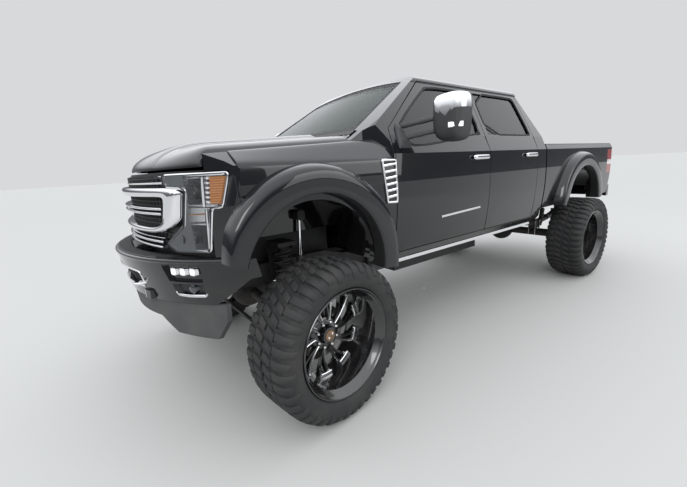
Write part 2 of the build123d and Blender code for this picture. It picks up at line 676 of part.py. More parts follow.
def make_front_bumper():
    """Bowed bumper with a step pad, a centre opening, lamp pockets and its frame brackets."""
    shell = arc_band(BUMPER_CENTRE, BUMPER_SIDE, 0, BUMPER_SKIN, BUMPER_TOP_Z, BUMPER_BOTTOM_Z, BUMPER_LEAN)
    b = BUMPER_CENTRE
    shell = shell - box(-360, 360, b - 130, b + 270, 905, 1010)
    # Recess of the three lamps over the fog lamp's opening: outline and depth
    pockets = (([(612, 974), (798, 974), (818, 1066), (806, 1080), (602, 1080), (598, 1066)], 28),
               ([(630, 890), (786, 890), (797, 960), (621, 960)], 48))
    for points, depth in pockets:
        deep = arc_band(b, BUMPER_SIDE, -80, depth, BUMPER_TOP_Z, BUMPER_BOTTOM_Z, BUMPER_LEAN)
        pocket = front(points, b - 130, b + 570)
        shell = shell - (pocket & deep) - (flip(pocket) & deep)
    tail = [(b + 670, BUMPER_BOTTOM_Z - 5), (b + 380, BUMPER_BOTTOM_Z - 5), (b + 540, 990), (b + 670, 990)]
    shell = shell - side(tail, 700, 1100) - side(tail, -1100, -700)
    pad = arc_band(BUMPER_CENTRE, BUMPER_SIDE, 12, 90, BUMPER_TOP_Z, BUMPER_TOP_Z + 14)
    pad = pad & box(-900, 900, AHEAD, b + 570, 1000, 1200)
    bracket = box(RAIL_IN_X, RAIL_OUT_X, b + 90, RAIL_FRONT - SEAT, BUMPER_BOTTOM_Z + 4, 890) & behind_arc(
        BUMPER_CENTRE, BUMPER_SIDE, 30, 700, 1000)
    return shell + pad + bracket + flip(bracket)


def make_air_dam():
    """Low panel under the bumper, leaning back."""
    top = BUMPER_BOTTOM_Z - SEAT
    shift = (BUMPER_TOP_Z - BUMPER_BOTTOM_Z) * -BUMPER_LEAN
    x, y = BUMPER_SIDE
    panel = arc_band(BUMPER_CENTRE + shift, (x, y + shift), 10, 38, top, AIR_DAM_BOTTOM_Z, AIR_DAM_LEAN)
    low = AIR_DAM_BOTTOM_Z
    ends = [(860, 900), (842, 720), (775, low), (520, low + 12), (402, low + 109)]
    return panel & front([*ends, *[(-x, z) for x, z in reversed(ends)]], AHEAD - 70, 0)


def bars(shapes):
    """Front-view outlines as bars that run through the nose."""
    solids = [front(points, AHEAD, NOSE_CENTRE + 505) for points in shapes]
    whole = solids[0]
    for solid in solids[1:]:
        whole = whole + solid
    return whole


def make_grille():
    """Wide bright frame with cut lower corners round a double bar, slats above and below, a lattice behind."""
    frame = []
    for sign in (1, -1):
        outer = [(700, 1507), (722, 1490), (692, 1308), (576, 1250)]
        inner = [(622, 1457), (632, 1446), (606, 1318), (550, 1278)]
        c_bar = [(0, 1507), *outer, (0, 1250), (0, 1278), *reversed(inner), (0, 1457)]
        frame.append([(sign * x, z) for x, z in c_bar])
    slats = [[(-half, z), (half, z), (half, z + 13), (-half, z + 13)]
             for half, z in ((590, 1526), (605, 1561), (575, 1361), (582, 1385))]
    lower = [[(-half, z), (half, z), (half + 14, z + 16), (-half - 14, z + 16)]
             for half, z in ((541, 1158), (553, 1190))]
    wall = nose_band(8, 50)
    backing = nose_band(40, CARRIER_NEAR - SEAT)
    lattice = [[(x - 6, 1165), (x + 6, 1165), (x + 6, 1570), (x - 6, 1570)] for x in range(-560, 561, 70)]
    rows = [[(-570, z), (570, z), (570, z + 10), (-570, z + 10)]
            for z in (1165, 1215, 1320, 1368, 1420, 1480, 1560)]
    return (wall & bars([*frame, *slats, *lower])) + (backing & bars([*lattice, *rows]))


def make_headlamps():
    """Lamp units with two deep pockets, their projectors and a raised middle band."""
    body = nose_band(0, CARRIER_NEAR - SEAT)
    body = body + (fender_block(SEAT + FENDER_SKIN) & behind_nose() & side(lamp_side(), 500, 1200))
    unit = body & front(lamp_outline(), AHEAD, 0) & side(lamp_side(), 500, 1200)
    unit = unit & behind_nose() - behind_nose(CARRIER_NEAR - SEAT)
    deep = behind_nose(-20) - behind_nose(42)
    upper = front([(766, 1416), (832, 1416), (832, 1540), (772, 1540)], AHEAD, 0) & deep
    lower = front([(655, 1184), (800, 1180), (815, 1292), (738, 1292)], AHEAD, 0) & deep
    unit = unit - upper - lower
    for x, z, radius in ((800, 1478, 30), (756, 1234, 36)):
        lens = rod((x, AHEAD, z), (x, NOSE_CENTRE + 405, z), radius) & (behind_nose(18) - behind_nose(45))
        unit = unit + lens
    return both(unit)


def make_vents():
    """Bright louvred vents at the rear of the front fenders."""
    slope = 44 / 320
    rear = FENDER_REAR
    frame = side([(rear - 140, 1598), (rear - 8, 1598), (rear - 3, 1300), (rear - 98, 1312)], 985, 1030)
    for step in range(6):
        z = 1335 + step * 42
        y = rear - 86 - (z - 1312) * slope
        frame = frame - side([(y, z), (rear - 20, z), (rear - 20, z + 24), (y - 3, z + 24)], 985, 1040)
    return both((frame & fender_block(-14)) - fender_block(-SEAT))


def make_radiator():
    """Front-end carrier behind the grille and lamps, with the radiator under it."""
    ring = nose_band(CARRIER_NEAR, CARRIER_FAR, CARRIER_BOTTOM_Z, CARRIER_TOP_Z)
    ring = ring & box(-820, 820, AHEAD, NOSE_CENTRE + 455, 0, 2000)
    core = box(-520, 520, RADIATOR_Y - 40, RADIATOR_Y + 40, RAIL_TOP_FRONT + SEAT, 1540)
    wing = box(-800, 800, RADIATOR_Y - 20, RADIATOR_Y + 40, 1130, 1540) & behind_nose(CARRIER_NEAR)
    link = box(-620, 620, NOSE_CENTRE + 75, RADIATOR_Y, 1140, 1180) & behind_nose(CARRIER_NEAR)
    top = box(-620, 620, NOSE_CENTRE + 75, RADIATOR_Y, 1500, 1540) & behind_nose(CARRIER_NEAR)
    return ring + core + wing + link + top


# Bed

def make_bed():
    """Open box with double side walls, wheel tubs, a ribbed floor and tail pillars."""
    sides = box(-1100, 1100, BED_FRONT, BED_REAR, BED_SIDE_BOTTOM_Z, BED_RAIL_Z)
    outer = body_block(BED_FRONT, BED_REAR) & sides
    outer = outer - box(-BED_INNER_X, BED_INNER_X, BED_FRONT + 50, BED_REAR + 10, BED_FLOOR_Z, 2000)
    outer = outer - box(-TAILGATE_X - SHUT_GAP, TAILGATE_X + SHUT_GAP, BED_REAR - TAILGATE_THICK - SHUT_GAP,
                        BED_REAR + 10, 900, 2000)
    under = body_block(BED_FRONT + 50, BED_REAR - 50, -BED_SKIRT)
    under = under & box(-1100, 1100, 0, BEYOND, 900, BED_FLOOR_Z - BED_FLOOR_THICK)
    outer = outer - under
    pillar = box(TAILGATE_X + SHUT_GAP, BED_INNER_X + 10, BED_REAR - 120, BED_REAR, BED_SIDE_BOTTOM_Z + 60,
                 BED_RAIL_Z)
    tub = box(TUB_X, BED_INNER_X + 40, WHEELBASE - 560, WHEELBASE + 560,
              BED_FLOOR_Z - BED_FLOOR_THICK, TUB_TOP_Z)
    outer = outer + pillar + flip(pillar) + tub + flip(tub)
    well = arch_tool(WHEELBASE, TUB_X + 30, 1200)
    outer = outer - well - flip(well)
    z0, z1 = TAIL_LAMP_Z
    lamp = box(875, 1200, BED_REAR - 165, BED_REAR + 50, z0 - SEAT, z1 + SEAT)
    lamp = lamp - box(0, 925, BED_REAR - 200, BED_REAR - 45, z0 - 5, z1 + 5)
    outer = outer - lamp - flip(lamp)
    under_floor = BED_FLOOR_Z - BED_FLOOR_THICK
    for count in range(int((BED_REAR - BED_FRONT - 200) // 270) + 1):
        y = BED_FRONT + 100 + 270 * count
        over_wheel = abs(y + 30 - WHEELBASE) < 560
        half = TUB_X + 30 if over_wheel else BED_INNER_X
        outer = outer + box(-half, half, y, y + 60, RAIL_TOP_REAR + SEAT, under_floor)
    for x in range(-560, 561, 140):
        outer = outer + box(x - 35, x + 35, BED_FRONT + 50, BED_REAR - TAILGATE_THICK - 20, BED_FLOOR_Z - 1,
                            BED_FLOOR_Z + 10)
    pivot = rod((TAILGATE_X + SHUT_GAP - 6 + SEAT, BED_REAR - 30, TAILGATE_HINGE_Z),
                (TAILGATE_X + 20, BED_REAR - 30, TAILGATE_HINGE_Z), 12)
    return outer + pivot + flip(pivot)


def make_tailgate():
    """Tailgate panel with a pressed recess, a handle pocket and a top spoiler edge."""
    y0, y1 = BED_REAR - TAILGATE_THICK, BED_REAR
    panel = side([(y0, 1193), (y1 - 8, 1193), (y1, 1205), (y1, 1640), (y1 + 12, 1672), (y1 + 6, BED_RAIL_Z),
                  (y0, BED_RAIL_Z)], -TAILGATE_X, TAILGATE_X)
    panel = panel - box(-640, 640, y1 - 10, y1 + 40, 1300, 1500)
    return panel - box(-110, 110, y1 - 28, y1 + 40, 1540, 1610)


def make_tail_lamps():
    """Tall lamps that wrap the bed's rear corners."""
    z0, z1 = TAIL_LAMP_Z
    lens = body_block(BED_REAR - 165 + SEAT, BED_REAR - SEAT)
    lens = lens & box(875 + SEAT, 1200, BED_FRONT, REAR_END, z0, z1)
    lens = lens - box(0, 925 + SEAT, BED_REAR - 200, BED_REAR - 45 + SEAT, z0 - 5, z1 + 5)
    return both(lens)


def make_rear_bumper():
    """Step bumper with its corner steps, a plate recess and frame brackets."""
    y0, y1 = BED_REAR + 25, REAR_END
    top, low = 1095, 935
    outer = [(985, y0), (985, y1 - 90), (880, y1 - 20), (400, y1)]
    inner = [(945, y0 - 10), (945, y1 - 110), (860, y1 - 60), (380, y1 - 45)]
    shape = plan([*outer, *[(-x, y) for x, y in reversed(outer)]], low, top)
    hollow = plan([*inner, *[(-x, y) for x, y in reversed(inner)]], low - 10, top - 30)
    shape = shape - hollow - box(-190, 190, y1 - 25, y1 + 10, 965, 1080)
    shape = shape + box(-190, 190, y1 - 60, y1 - 24, 940, 1090)
    bracket = box(RAIL_IN_X, RAIL_OUT_X, BED_REAR - 30 + SEAT, y0 + 60, 940, 1080)
    ball = Pos(0, y1 - 100, 0) * Cylinder(13, 400, align=(Align.CENTER, Align.CENTER, Align.MIN))
    return shape + bracket + flip(bracket) - Pos(0, 0, 900) * ball


# Frame and running gear

def make_frame():
    """Ladder frame: two stepped rails, round and box cross members, and the tow receiver."""
    steps = [(RAIL_FRONT, RAIL_TOP_FRONT), (CAB_FRONT - 272, RAIL_TOP_FRONT), (CAB_FRONT - 92, RAIL_TOP_CAB),
             (CAB_REAR + 10, RAIL_TOP_CAB), (CAB_REAR + 338, RAIL_TOP_REAR), (BED_REAR - 30, RAIL_TOP_REAR)]
    rail = side([*steps, *[(y, z - RAIL_HEIGHT) for y, z in reversed(steps)]], RAIL_IN_X, RAIL_OUT_X)
    frame = rail + flip(rail)
    # Cross members: station, top, height
    members = ((RAIL_FRONT + 60, 885, 90), (MEMBER_GEARBOX, 820, 60), (MEMBER_CENTRE, 820, 60),
               (MEMBER_CAB, 820, 60), (MEMBER_AXLE, 985, 85), (MEMBER_SPARE, 985, 85), (BED_REAR - 90, 985, 85))
    for y, top, height in members:
        frame = frame + box(-RAIL_IN_X - 20, RAIL_IN_X + 20, y - 40, y + 40, top - height, top)
    y, z = BED_REAR - 70, RECEIVER_Z
    tube = rod((-500, y, z), (500, y, z), 38)
    drop = box(RAIL_IN_X, RAIL_OUT_X, y - 40, y + 40, z - 20, z + 20)
    receiver = box(-40, 40, y - 120, RECEIVER_END, z - 40, z + 40)
    frame = frame + tube + drop + flip(drop) + receiver
    slot = box(-RECEIVER / 2, RECEIVER / 2, y - 170, RECEIVER_END + 70, z - RECEIVER / 2, z + RECEIVER / 2)
    pin_hole = rod((-60, HITCH_PIN_Y, z), (60, HITCH_PIN_Y, z), 8)
    return frame - slot - pin_hole


def make_engine():
    """Engine as one plain block on its mounts."""
    block = box(-290, 290, -380, ENGINE_REAR, 760, 1480)
    mounts = box(-RAIL_IN_X + SEAT, RAIL_IN_X - SEAT, -60, 60, 790, 880)
    return block + mounts


def make_front_axle():
    """Solid front axle with its kingpin yokes."""
    axle = rod((-800, 0, TYRE_RADIUS), (800, 0, TYRE_RADIUS), AXLE_TUBE)
    case = Pos(-230, 0, TYRE_RADIUS) * Sphere(150)
    nose_case = rod((-230, 0, TYRE_RADIUS), (-230, 230, TYRE_RADIUS), 60)
    yoke = rod((KINGPIN_X, 0, TYRE_RADIUS - YOKE_HALF), (KINGPIN_X, 0, TYRE_RADIUS + YOKE_HALF), 34)
    arm = box(780, KINGPIN_X, -30, 30, TYRE_RADIUS - 60, TYRE_RADIUS + 60)
    return axle + case + nose_case + yoke + flip(yoke) + arm + flip(arm)


def knuckle_body():
    """Left-hand knuckle, drawn straight ahead."""
    ears = []
    for sign in (1, -1):
        near = TYRE_RADIUS + sign * (YOKE_HALF + SEAT)
        ears.append(rod((KINGPIN_X, 0, near), (KINGPIN_X, 0, near + sign * 30), 38))
        ears.append(box(KINGPIN_X, 920, -32, 32, min(near, near + sign * 30), max(near, near + sign * 30)))
    plate = box(895, 920, -60, 60, TYRE_RADIUS - YOKE_HALF - 30, TYRE_RADIUS + YOKE_HALF + 30)
    bearing = rod((895, 0, TYRE_RADIUS), (MOUNT_X - 30, 0, TYRE_RADIUS), 75)
    low = TYRE_RADIUS - YOKE_HALF - SEAT
    arm = side([(20, low), (20, low - 30), (-STEER_ARM - 25, low - 30), (-STEER_ARM - 25, TIE_ROD_Z - 22),
                (-STEER_ARM + 25, TIE_ROD_Z - 22), (-STEER_ARM + 30, low)], KINGPIN_X - 22, KINGPIN_X + 22)
    whole = plate + bearing + arm
    for ear in ears:
        whole = whole + ear
    return whole


def steer(shape, sign):
    """Turn a front piece about its kingpin to the parked angle."""
    pin = (sign * KINGPIN_X, 0, 0)
    return shape.rotate(Axis(pin, (0, 0, 1)), PARKED_STEER)


def make_tie_rod():
    """Rod between the two steering arms."""
    angle = radians(PARKED_STEER)
    x = STEER_ARM * sin(angle)
    y = -STEER_ARM * cos(angle)
    bar = rod((x - KINGPIN_X, y, TIE_ROD_Z), (x + KINGPIN_X, y, TIE_ROD_Z), 16)
    for sign in (1, -1):
        end = x + sign * KINGPIN_X
        bar = bar + rod((end, y, TIE_ROD_Z - 22 + SEAT), (end, y, TIE_ROD_Z + 20), 24)
    return bar


def make_rear_axle():
    """Solid rear axle with its differential and hub ends."""
    outer = MOUNT_X - 30
    axle = rod((-outer, WHEELBASE, TYRE_RADIUS), (outer, WHEELBASE, TYRE_RADIUS), AXLE_TUBE + 4)
    hubs = both(rod((outer - 60, WHEELBASE, TYRE_RADIUS), (outer, WHEELBASE, TYRE_RADIUS), 80))
    case = Pos(0, WHEELBASE, TYRE_RADIUS) * Sphere(165)
    pinion = rod((0, WHEELBASE, TYRE_RADIUS), (0, WHEELBASE - 280, TYRE_RADIUS + 20), 65)
    return axle + hubs + case + pinion


def ringed_damper(x, y, low, high, radius, pitch):
    """Coil-over strut: a shaft with raised rings, turned about a vertical line."""
    points = [(0, low), (radius * 0.6, low)]
    z = low
    while z + pitch < high:
        points += [(radius * 0.6, z + pitch * 0.25), (radius, z + pitch * 0.45), (radius, z + pitch * 0.6),
                   (radius * 0.6, z + pitch * 0.8)]
        z += pitch
    points += [(radius * 0.6, high), (0, high)]
    face = outline(points, lambda r, h: (x + r, y, h))
    return revolve(face, axis=Axis((x, y, 0), (0, 0, 1)), revolution_arc=360)


def make_front_suspension():
    """Coil struts on the axle, towers on the rails, and long radius arms."""
    low = TYRE_RADIUS + AXLE_TUBE + SEAT
    strut = ringed_damper(COIL_X, 0, low, 1050, 62, 55)
    tower = box(RAIL_OUT_X + SEAT, COIL_X + 75, -70, 70, 1040, 1070)
    tower = tower + box(RAIL_OUT_X + SEAT, RAIL_OUT_X + 14, -70, 70, 780, 1050)
    arm = side([(-40, 445), (40, 440), (900, 640), (960, 655), (960, 705), (880, 700), (30, 459.5), (-40, 459.5)],
               RAIL_OUT_X + 10, RAIL_OUT_X + 60)
    hanger = box(RAIL_OUT_X + SEAT, RAIL_OUT_X + 30, 880, 980, 660, 830)
    return both(strut + tower) + both(arm + hanger)


def make_rear_suspension():
    """Leaf packs above the axle, with hangers, shackles and dampers."""
    low = TYRE_RADIUS + AXLE_TUBE + 4 + SEAT
    y = WHEELBASE
    leaf = side([(y - 800, 760), (y - 400, 655, y, low + 60), (y + 400, 655, y + 800, 760), (y + 800, 792),
                 (y + 400, 695, y, low + 110), (y - 400, 695, y - 800, 792)], LEAF_X - 38, LEAF_X + 38)
    block = box(LEAF_X - 38, LEAF_X + 38, y - 90, y + 90, low, low + 70)
    hangers = box(RAIL_OUT_X + SEAT, LEAF_X + 45, y - 850, y - 770, 740, 980)
    hangers = hangers + box(RAIL_OUT_X + SEAT, LEAF_X + 45, y + 770, y + 850, 740, 980)
    return both(leaf + block + hangers)


def make_driveline():
    """Gearbox, transfer case and propeller shafts."""
    y = MEMBER_GEARBOX
    gearbox = box(-170, 170, ENGINE_REAR + SEAT, y - 70, 620, 835)
    gearbox = gearbox + box(-120, 230, y - 350, y - 40 - SEAT, 600, 780)
    carrier = rod((0, y - 60, 700), (0, MEMBER_CENTRE - 40, 700), 42)
    shaft = rod((0, MEMBER_CENTRE - 50, 700), (0, WHEELBASE - 290, TYRE_RADIUS + 20), 45)
    return gearbox + carrier + shaft


def make_exhaust():
    """Pipe and silencer under the right-hand side, out behind the rear wheel."""
    axle = WHEELBASE
    path = FilletPolyline((-250, ENGINE_REAR - 40, 660), (-250, CAB_REAR - 62, 660), (-250, CAB_REAR + 388, 720),
                          (-250, axle + 671, 720), (-620, axle + 921, 640), (-930, axle + 961, 640), radius=90)
    pipe = sweep(Plane(origin=path @ 0, z_dir=path % 0) * Circle(40), path)
    pipe = pipe + rod((-250, MEMBER_GEARBOX + 80, 650), (-250, MEMBER_CENTRE - 80, 650), 95)
    # Hangers up to the cross members: station, foot, top
    for y, low, high in ((MEMBER_GEARBOX, 690, 760), (MEMBER_CAB, 690, 760), (MEMBER_AXLE, 750, 900),
                         (MEMBER_SPARE, 750, 900)):
        pipe = pipe + box(-258, -242, y - 12, y + 12, low, high - SEAT)
    return pipe


def make_fuel_tank():
    """Tank on the left-hand side inside the rail."""
    return box(110, RAIL_IN_X - SEAT, MEMBER_GEARBOX + 80, MEMBER_CAB - 70, 500, 755)


# Wheels

def make_wheel(station):
    """Left-hand wheel: deep barrel, lips, hub, brake disc and paired curved spokes."""
    inner = -RIM_WIDTH / 2
    outer = RIM_WIDTH / 2
    lip = RIM_LIP_RADIUS
    place = (WHEEL_X, station, TYRE_RADIUS)
    barrel = turned([(inner, lip), (inner + 14, lip), (inner + 20, BEAD_RADIUS), (inner + 60, BARREL_RADIUS),
                     (outer - 60, BARREL_RADIUS), (outer - 20, BEAD_RADIUS), (outer - 14, lip), (outer, lip),
                     (outer, lip - 14), (outer - 50, BARREL_RADIUS - 14), (inner + 50, BARREL_RADIUS - 14),
                     (inner, BEAD_RADIUS - 14)], *place)
    i = MOUNT_X - 29.5 - WHEEL_X
    hub = turned([(i, 0), (i, 70), (i + 8, 70), (i + 8, DISC_RADIUS), (i + 30, DISC_RADIUS), (i + 30, HUB_RADIUS),
                  (i + 70, HUB_RADIUS), (i + 78, 60), (i + 100, 50), (i + 100, 0)], *place)
    dish = turned([(i + 32, 60), (i + 68, 60), (i + 90, 180), (i + 150, BARREL_RADIUS - 8),
                   (i + 100, BARREL_RADIUS - 8), (i + 45, 180)], *place)
    blade = [(62, -22), (180, -30), (BARREL_RADIUS - 2, 8), (BARREL_RADIUS - 2, 34), (180, -4), (62, 0)]
    spokes = None
    for count in range(SPOKE_COUNT):
        turn = 360 / SPOKE_COUNT * count
        for bend in (1, -1):
            shape = outline([(r, bend * t) for r, t in blade], lambda r, t: (0, r, t))
            prism = extrude(shape, amount=400, dir=(1, 0, 0))
            prism = Pos(WHEEL_X - 200, station, TYRE_RADIUS) * Rot(turn, 0, 0) * prism
            spokes = prism if spokes is None else spokes + prism
    return barrel + hub + (dish & spokes)


def make_tyre(station):
    """Tyre out to its lugs' tips, with a row of lugs on each shoulder."""
    half = TYRE_WIDTH / 2
    rim = RIM_WIDTH / 2
    base = TYRE_RADIUS - LUG_HEIGHT
    right = [(half - 45, base), (half - 8, 460), (half, 420), (rim - 14 - SEAT, RIM_LIP_RADIUS + 1),
             (rim - 20 - SEAT, BEAD_RADIUS + 0.2), (rim - 55, BARREL_RADIUS + 6)]
    left = [(-along, radius) for along, radius in reversed(right)]
    carcass = turned([*left, *right], WHEEL_X, station, TYRE_RADIUS)
    lugs = []
    middle = Pos(WHEEL_X, station, TYRE_RADIUS)
    # Rows of lugs: place across the tread, width, slant in degrees, stagger
    for across, width, slant, stagger in ((half - 52, 96, 18, 0), (52 - half, 96, -18, 0.5), (0, 150, 35, 0.25)):
        corner = width / 2 * abs(sin(radians(slant))) + LUG_LENGTH / 2 * cos(radians(slant))
        tip = sqrt(TYRE_RADIUS ** 2 - corner ** 2)
        lug = Rot(0, 0, slant) * Box(width, LUG_LENGTH, tip - base + LUG_ROOT)
        first = 180 - degrees(asin(corner / TYRE_RADIUS))
        for count in range(LUG_COUNT):
            turn = first + 360 / LUG_COUNT * (count + stagger)
            lugs.append(middle * Rot(turn, 0, 0) * Pos(across, 0, (tip + base - LUG_ROOT) / 2) * lug)
    return carcass.fuse(*lugs)


def main():
    """Build every piece."""
    os.makedirs("parts", exist_ok=True)
    save("cab", make_cab())
    save("dashboard", make_dashboard())
    save("steering_wheel", make_steering_wheel())
    save("front_seats", make_front_seats())
    save("rear_seat", make_rear_seat())
    save("windscreen", make_windscreen())
    save("rear_window", make_rear_window())
    save("rocker_trims", make_rocker_trims())
    save("hood", make_hood())
    save("fenders", make_fenders())
    save("flares", make_flares())
    save("front_bumper", make_front_bumper())
    save("air_dam", make_air_dam())
    save("grille", make_grille())
    save("headlamps", make_headlamps())
    save("fender_vents", make_vents())
    save("radiator", make_radiator())
    save("bed", make_bed())
    save("tailgate", make_tailgate())
    save("tail_lamps", make_tail_lamps())
    save("rear_bumper", make_rear_bumper())
    save("frame", make_frame())
    save("engine", make_engine())
    save("front_axle", make_front_axle())
    save("rear_axle", make_rear_axle())
    save("front_suspension", make_front_suspension())
    save("rear_suspension", make_rear_suspension())
    save("driveline", make_driveline())
    save("exhaust", make_exhaust())
    save("fuel_tank", make_fuel_tank())
    knuckle = knuckle_body()
    save("knuckle_left", steer(knuckle, 1))
    save("knuckle_right", steer(flip(knuckle), -1))
    save("tie_rod", make_tie_rod())
    for name in ("front", "rear"):
        door, glass = make_door(name), make_door_glass(name)
        save(f"door_{name}_left", door)
        save(f"door_{name}_right", flip(door))
        save(f"glass_{name}_left", glass)
        save(f"glass_{name}_right", flip(glass))
    mirror_head = make_mirror()
    save("mirror_left", mirror_head)
    save("mirror_right", flip(mirror_head))
    for name, make in (("wheel", make_wheel), ("tyre", make_tyre)):
        for end, station in (("front", 0), ("rear", WHEELBASE)):
            left = make(station)
            right = flip(left)
            if end == "front":
                left, right = steer(left, 1), steer(right, -1)
            save(f"{name}_{end}_left", left)
            save(f"{name}_{end}_right", right)


main()
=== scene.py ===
# %% [markdown]
# # A lifted pickup truck, dressed in Blender
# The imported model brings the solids: cab, doors, hood, bed, frame and axles, all in one frame in metres.
# This lesson adds what a maker sees from close by: lugged tyres, turned wheels, lamps behind clear covers,
# bright trim, seats and springs. Each step first says what the piece is on a real truck and why it is
# made the way it is.

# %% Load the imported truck
import math

import bmesh
import bpy
import numpy as np
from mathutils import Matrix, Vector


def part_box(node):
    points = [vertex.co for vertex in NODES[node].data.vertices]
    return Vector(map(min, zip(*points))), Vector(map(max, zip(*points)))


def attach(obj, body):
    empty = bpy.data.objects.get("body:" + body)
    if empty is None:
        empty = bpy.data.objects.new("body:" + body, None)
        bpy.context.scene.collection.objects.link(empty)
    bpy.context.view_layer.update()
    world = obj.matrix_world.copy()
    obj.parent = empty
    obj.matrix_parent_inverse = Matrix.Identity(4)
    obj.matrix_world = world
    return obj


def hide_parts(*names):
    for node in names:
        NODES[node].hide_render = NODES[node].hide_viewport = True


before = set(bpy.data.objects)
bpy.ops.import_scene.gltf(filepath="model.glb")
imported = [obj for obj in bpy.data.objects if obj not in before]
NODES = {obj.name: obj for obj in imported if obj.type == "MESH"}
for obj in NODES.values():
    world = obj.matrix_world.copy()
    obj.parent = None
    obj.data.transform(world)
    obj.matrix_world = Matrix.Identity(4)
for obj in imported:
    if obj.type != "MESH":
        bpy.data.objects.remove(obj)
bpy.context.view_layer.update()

# %% [markdown]
# ## Places
# The solids were drawn in millimetres with y counted back from the front axle. The same stations are kept
# here, so that a lamp sits where its pocket is, and one function moves them into the model's frame.

# %% Stations and bows
FRONT_AXLE_Y = -2.205
WHEELBASE = 4059
TYRE_RADIUS = 508
WHEEL_X = 1045
KINGPIN_X = 850
PARKED_STEER = math.radians(7)
NOSE_CENTRE = -905
BUMPER_CENTRE = -970


def place(points):
    """Millimetres with y behind the front axle, to metres in the model's frame."""
    points = np.array(points, float) / 1000
    points[..., 1] += FRONT_AXLE_Y
    return points


def bow(x, half, depth):
    """How far a plan arc falls back at x: r - sqrt(r^2 - x^2), with r from its half width and depth."""
    radius = (half ** 2 + depth ** 2) / (2 * depth)
    return radius - np.sqrt(radius ** 2 - np.asarray(x, float) ** 2)


def on_nose(x, z, depth=0):
    """Point of the grille's bowed face, a depth behind it; between the headlamps the bow is 50 flatter."""
    x, z, depth = np.broadcast_arrays(x, z, depth)
    flat = 50 + bow(np.minimum(abs(x), 620), 620, bow(620, 961, 415) - 50)
    back = np.where(abs(x) < 620, flat, bow(x, 961, 415))
    return np.stack([x, NOSE_CENTRE + back + depth, z], -1).astype(float)


def on_bumper(x, z, depth=0):
    """Point of the front bumper's face, which leans back by 0.22 towards its foot."""
    x, z, depth = np.broadcast_arrays(x, z, depth)
    return np.stack([x, BUMPER_CENTRE + bow(x, 990, 520) + (1100 - z) * 0.22 + depth, z], -1).astype(float)


def arc_through(start, middle, end, count):
    """Points on the circle through three points of a plane, evenly spaced by angle."""
    start, middle, end = (np.array(p, float) for p in (start, middle, end))
    rows = np.array([middle - start, end - start])
    centre = start + np.linalg.solve(rows * 2, (rows ** 2).sum(1))
    angles = np.unwrap([math.atan2(*(p - centre)[::-1]) for p in (start, middle, end)])
    angle = np.linspace(angles[0], angles[2], count)
    return centre + np.linalg.norm(start - centre) * np.stack([np.cos(angle), np.sin(angle)], -1)


SIDE = np.vstack([arc_through((968, 905), (1002, 1150), (1012, 1440), 12),
                  [(1006, 1640), (948, 1775), (745, 2205)]])


def side_x(z):
    """Half width of the body's side at a height."""
    return np.interp(z, SIDE[:, 1], SIDE[:, 0])


def on_side(y, z, proud=0):
    """Point of the left-hand body side, a distance proud of it."""
    y, z, proud = np.broadcast_arrays(y, z, proud)
    return np.stack([side_x(z) + proud, y, z], -1).astype(float)


def on_screen(x, z, proud=0):
    """Point of the windscreen: 1.65 back for each unit up, and bowed by 120 over its half width."""
    x, z, proud = np.broadcast_arrays(x, z, proud)
    return np.stack([x, 430 + bow(x, 890, 120) + 1.65 * (z - 1820) + 12 - proud * 1.9, z], -1).astype(float)


print("side at belt", side_x(1775), "nose at lamp", on_nose(850, 1400))

# %% [markdown]
# ## Shapes
# Nearly every small piece of a car is a section carried along a line, a turned profile, or a sheet between
# two edges. Each of these is one grid of points, so one class gathers grids and closes them. Working with
# whole arrays keeps the formula of a shape in sight, where a chain of editing steps would hide it.

# %% Pieces from grids of points
def curve_through(points, count, closed=False):
    """Catmull-Rom curve: each span blends its four nearest points, so the line meets all of them."""
    p = np.asarray(points, float)
    spans = len(p) if closed else len(p) - 1
    p = np.vstack([p[-1:], p, p[:2]]) if closed else np.vstack([2 * p[0] - p[1], p, 2 * p[-1] - p[-2]])
    at = np.linspace(0, spans, count, endpoint=not closed)
    i = np.minimum(at.astype(int), spans - 1)
    t = (at - i)[:, None]
    a, b, c, d = p[i], p[i + 1], p[i + 2], p[i + 3]
    return 0.5 * (2 * b + (c - a) * t + (2 * a - 5 * b + 4 * c - d) * t ** 2 + (3 * b - a - 3 * c + d) * t ** 3)


def cut_corners(points, times=2, closed=True):
    """Chaikin's rule: each edge keeps its middle half, so corners round off a little more each time."""
    p = np.asarray(points, float)
    for _ in range(times):
        after = np.roll(p, -1, 0)
        mixed = np.stack([0.75 * p + 0.25 * after, 0.25 * p + 0.75 * after], 1).reshape(-1, p.shape[1])
        p = mixed if closed else np.vstack([p[:1], mixed[:-2], p[-1:]])
    return p


def evenly(points, count, closed=False):
    """The same line with points at equal steps of its length."""
    p = np.asarray(points, float)
    if closed:
        p = np.vstack([p, p[:1]])
    length = np.concatenate([[0], np.cumsum(np.linalg.norm(np.diff(p, axis=0), axis=1))])
    at = np.linspace(0, length[-1], count, endpoint=not closed)
    return np.stack([np.interp(at, length, p[:, k]) for k in range(p.shape[1])], -1)


def squircle(width, height, power=4, count=16):
    """Rounded rectangle: cos and sin raised to 2 / power, with their signs kept."""
    angle = np.linspace(0, 2 * np.pi, count, endpoint=False) + np.pi / count
    c, s = np.cos(angle), np.sin(angle)
    return np.stack([width / 2 * np.sign(c) * np.abs(c) ** (2 / power),
                     height / 2 * np.sign(s) * np.abs(s) ** (2 / power)], -1)


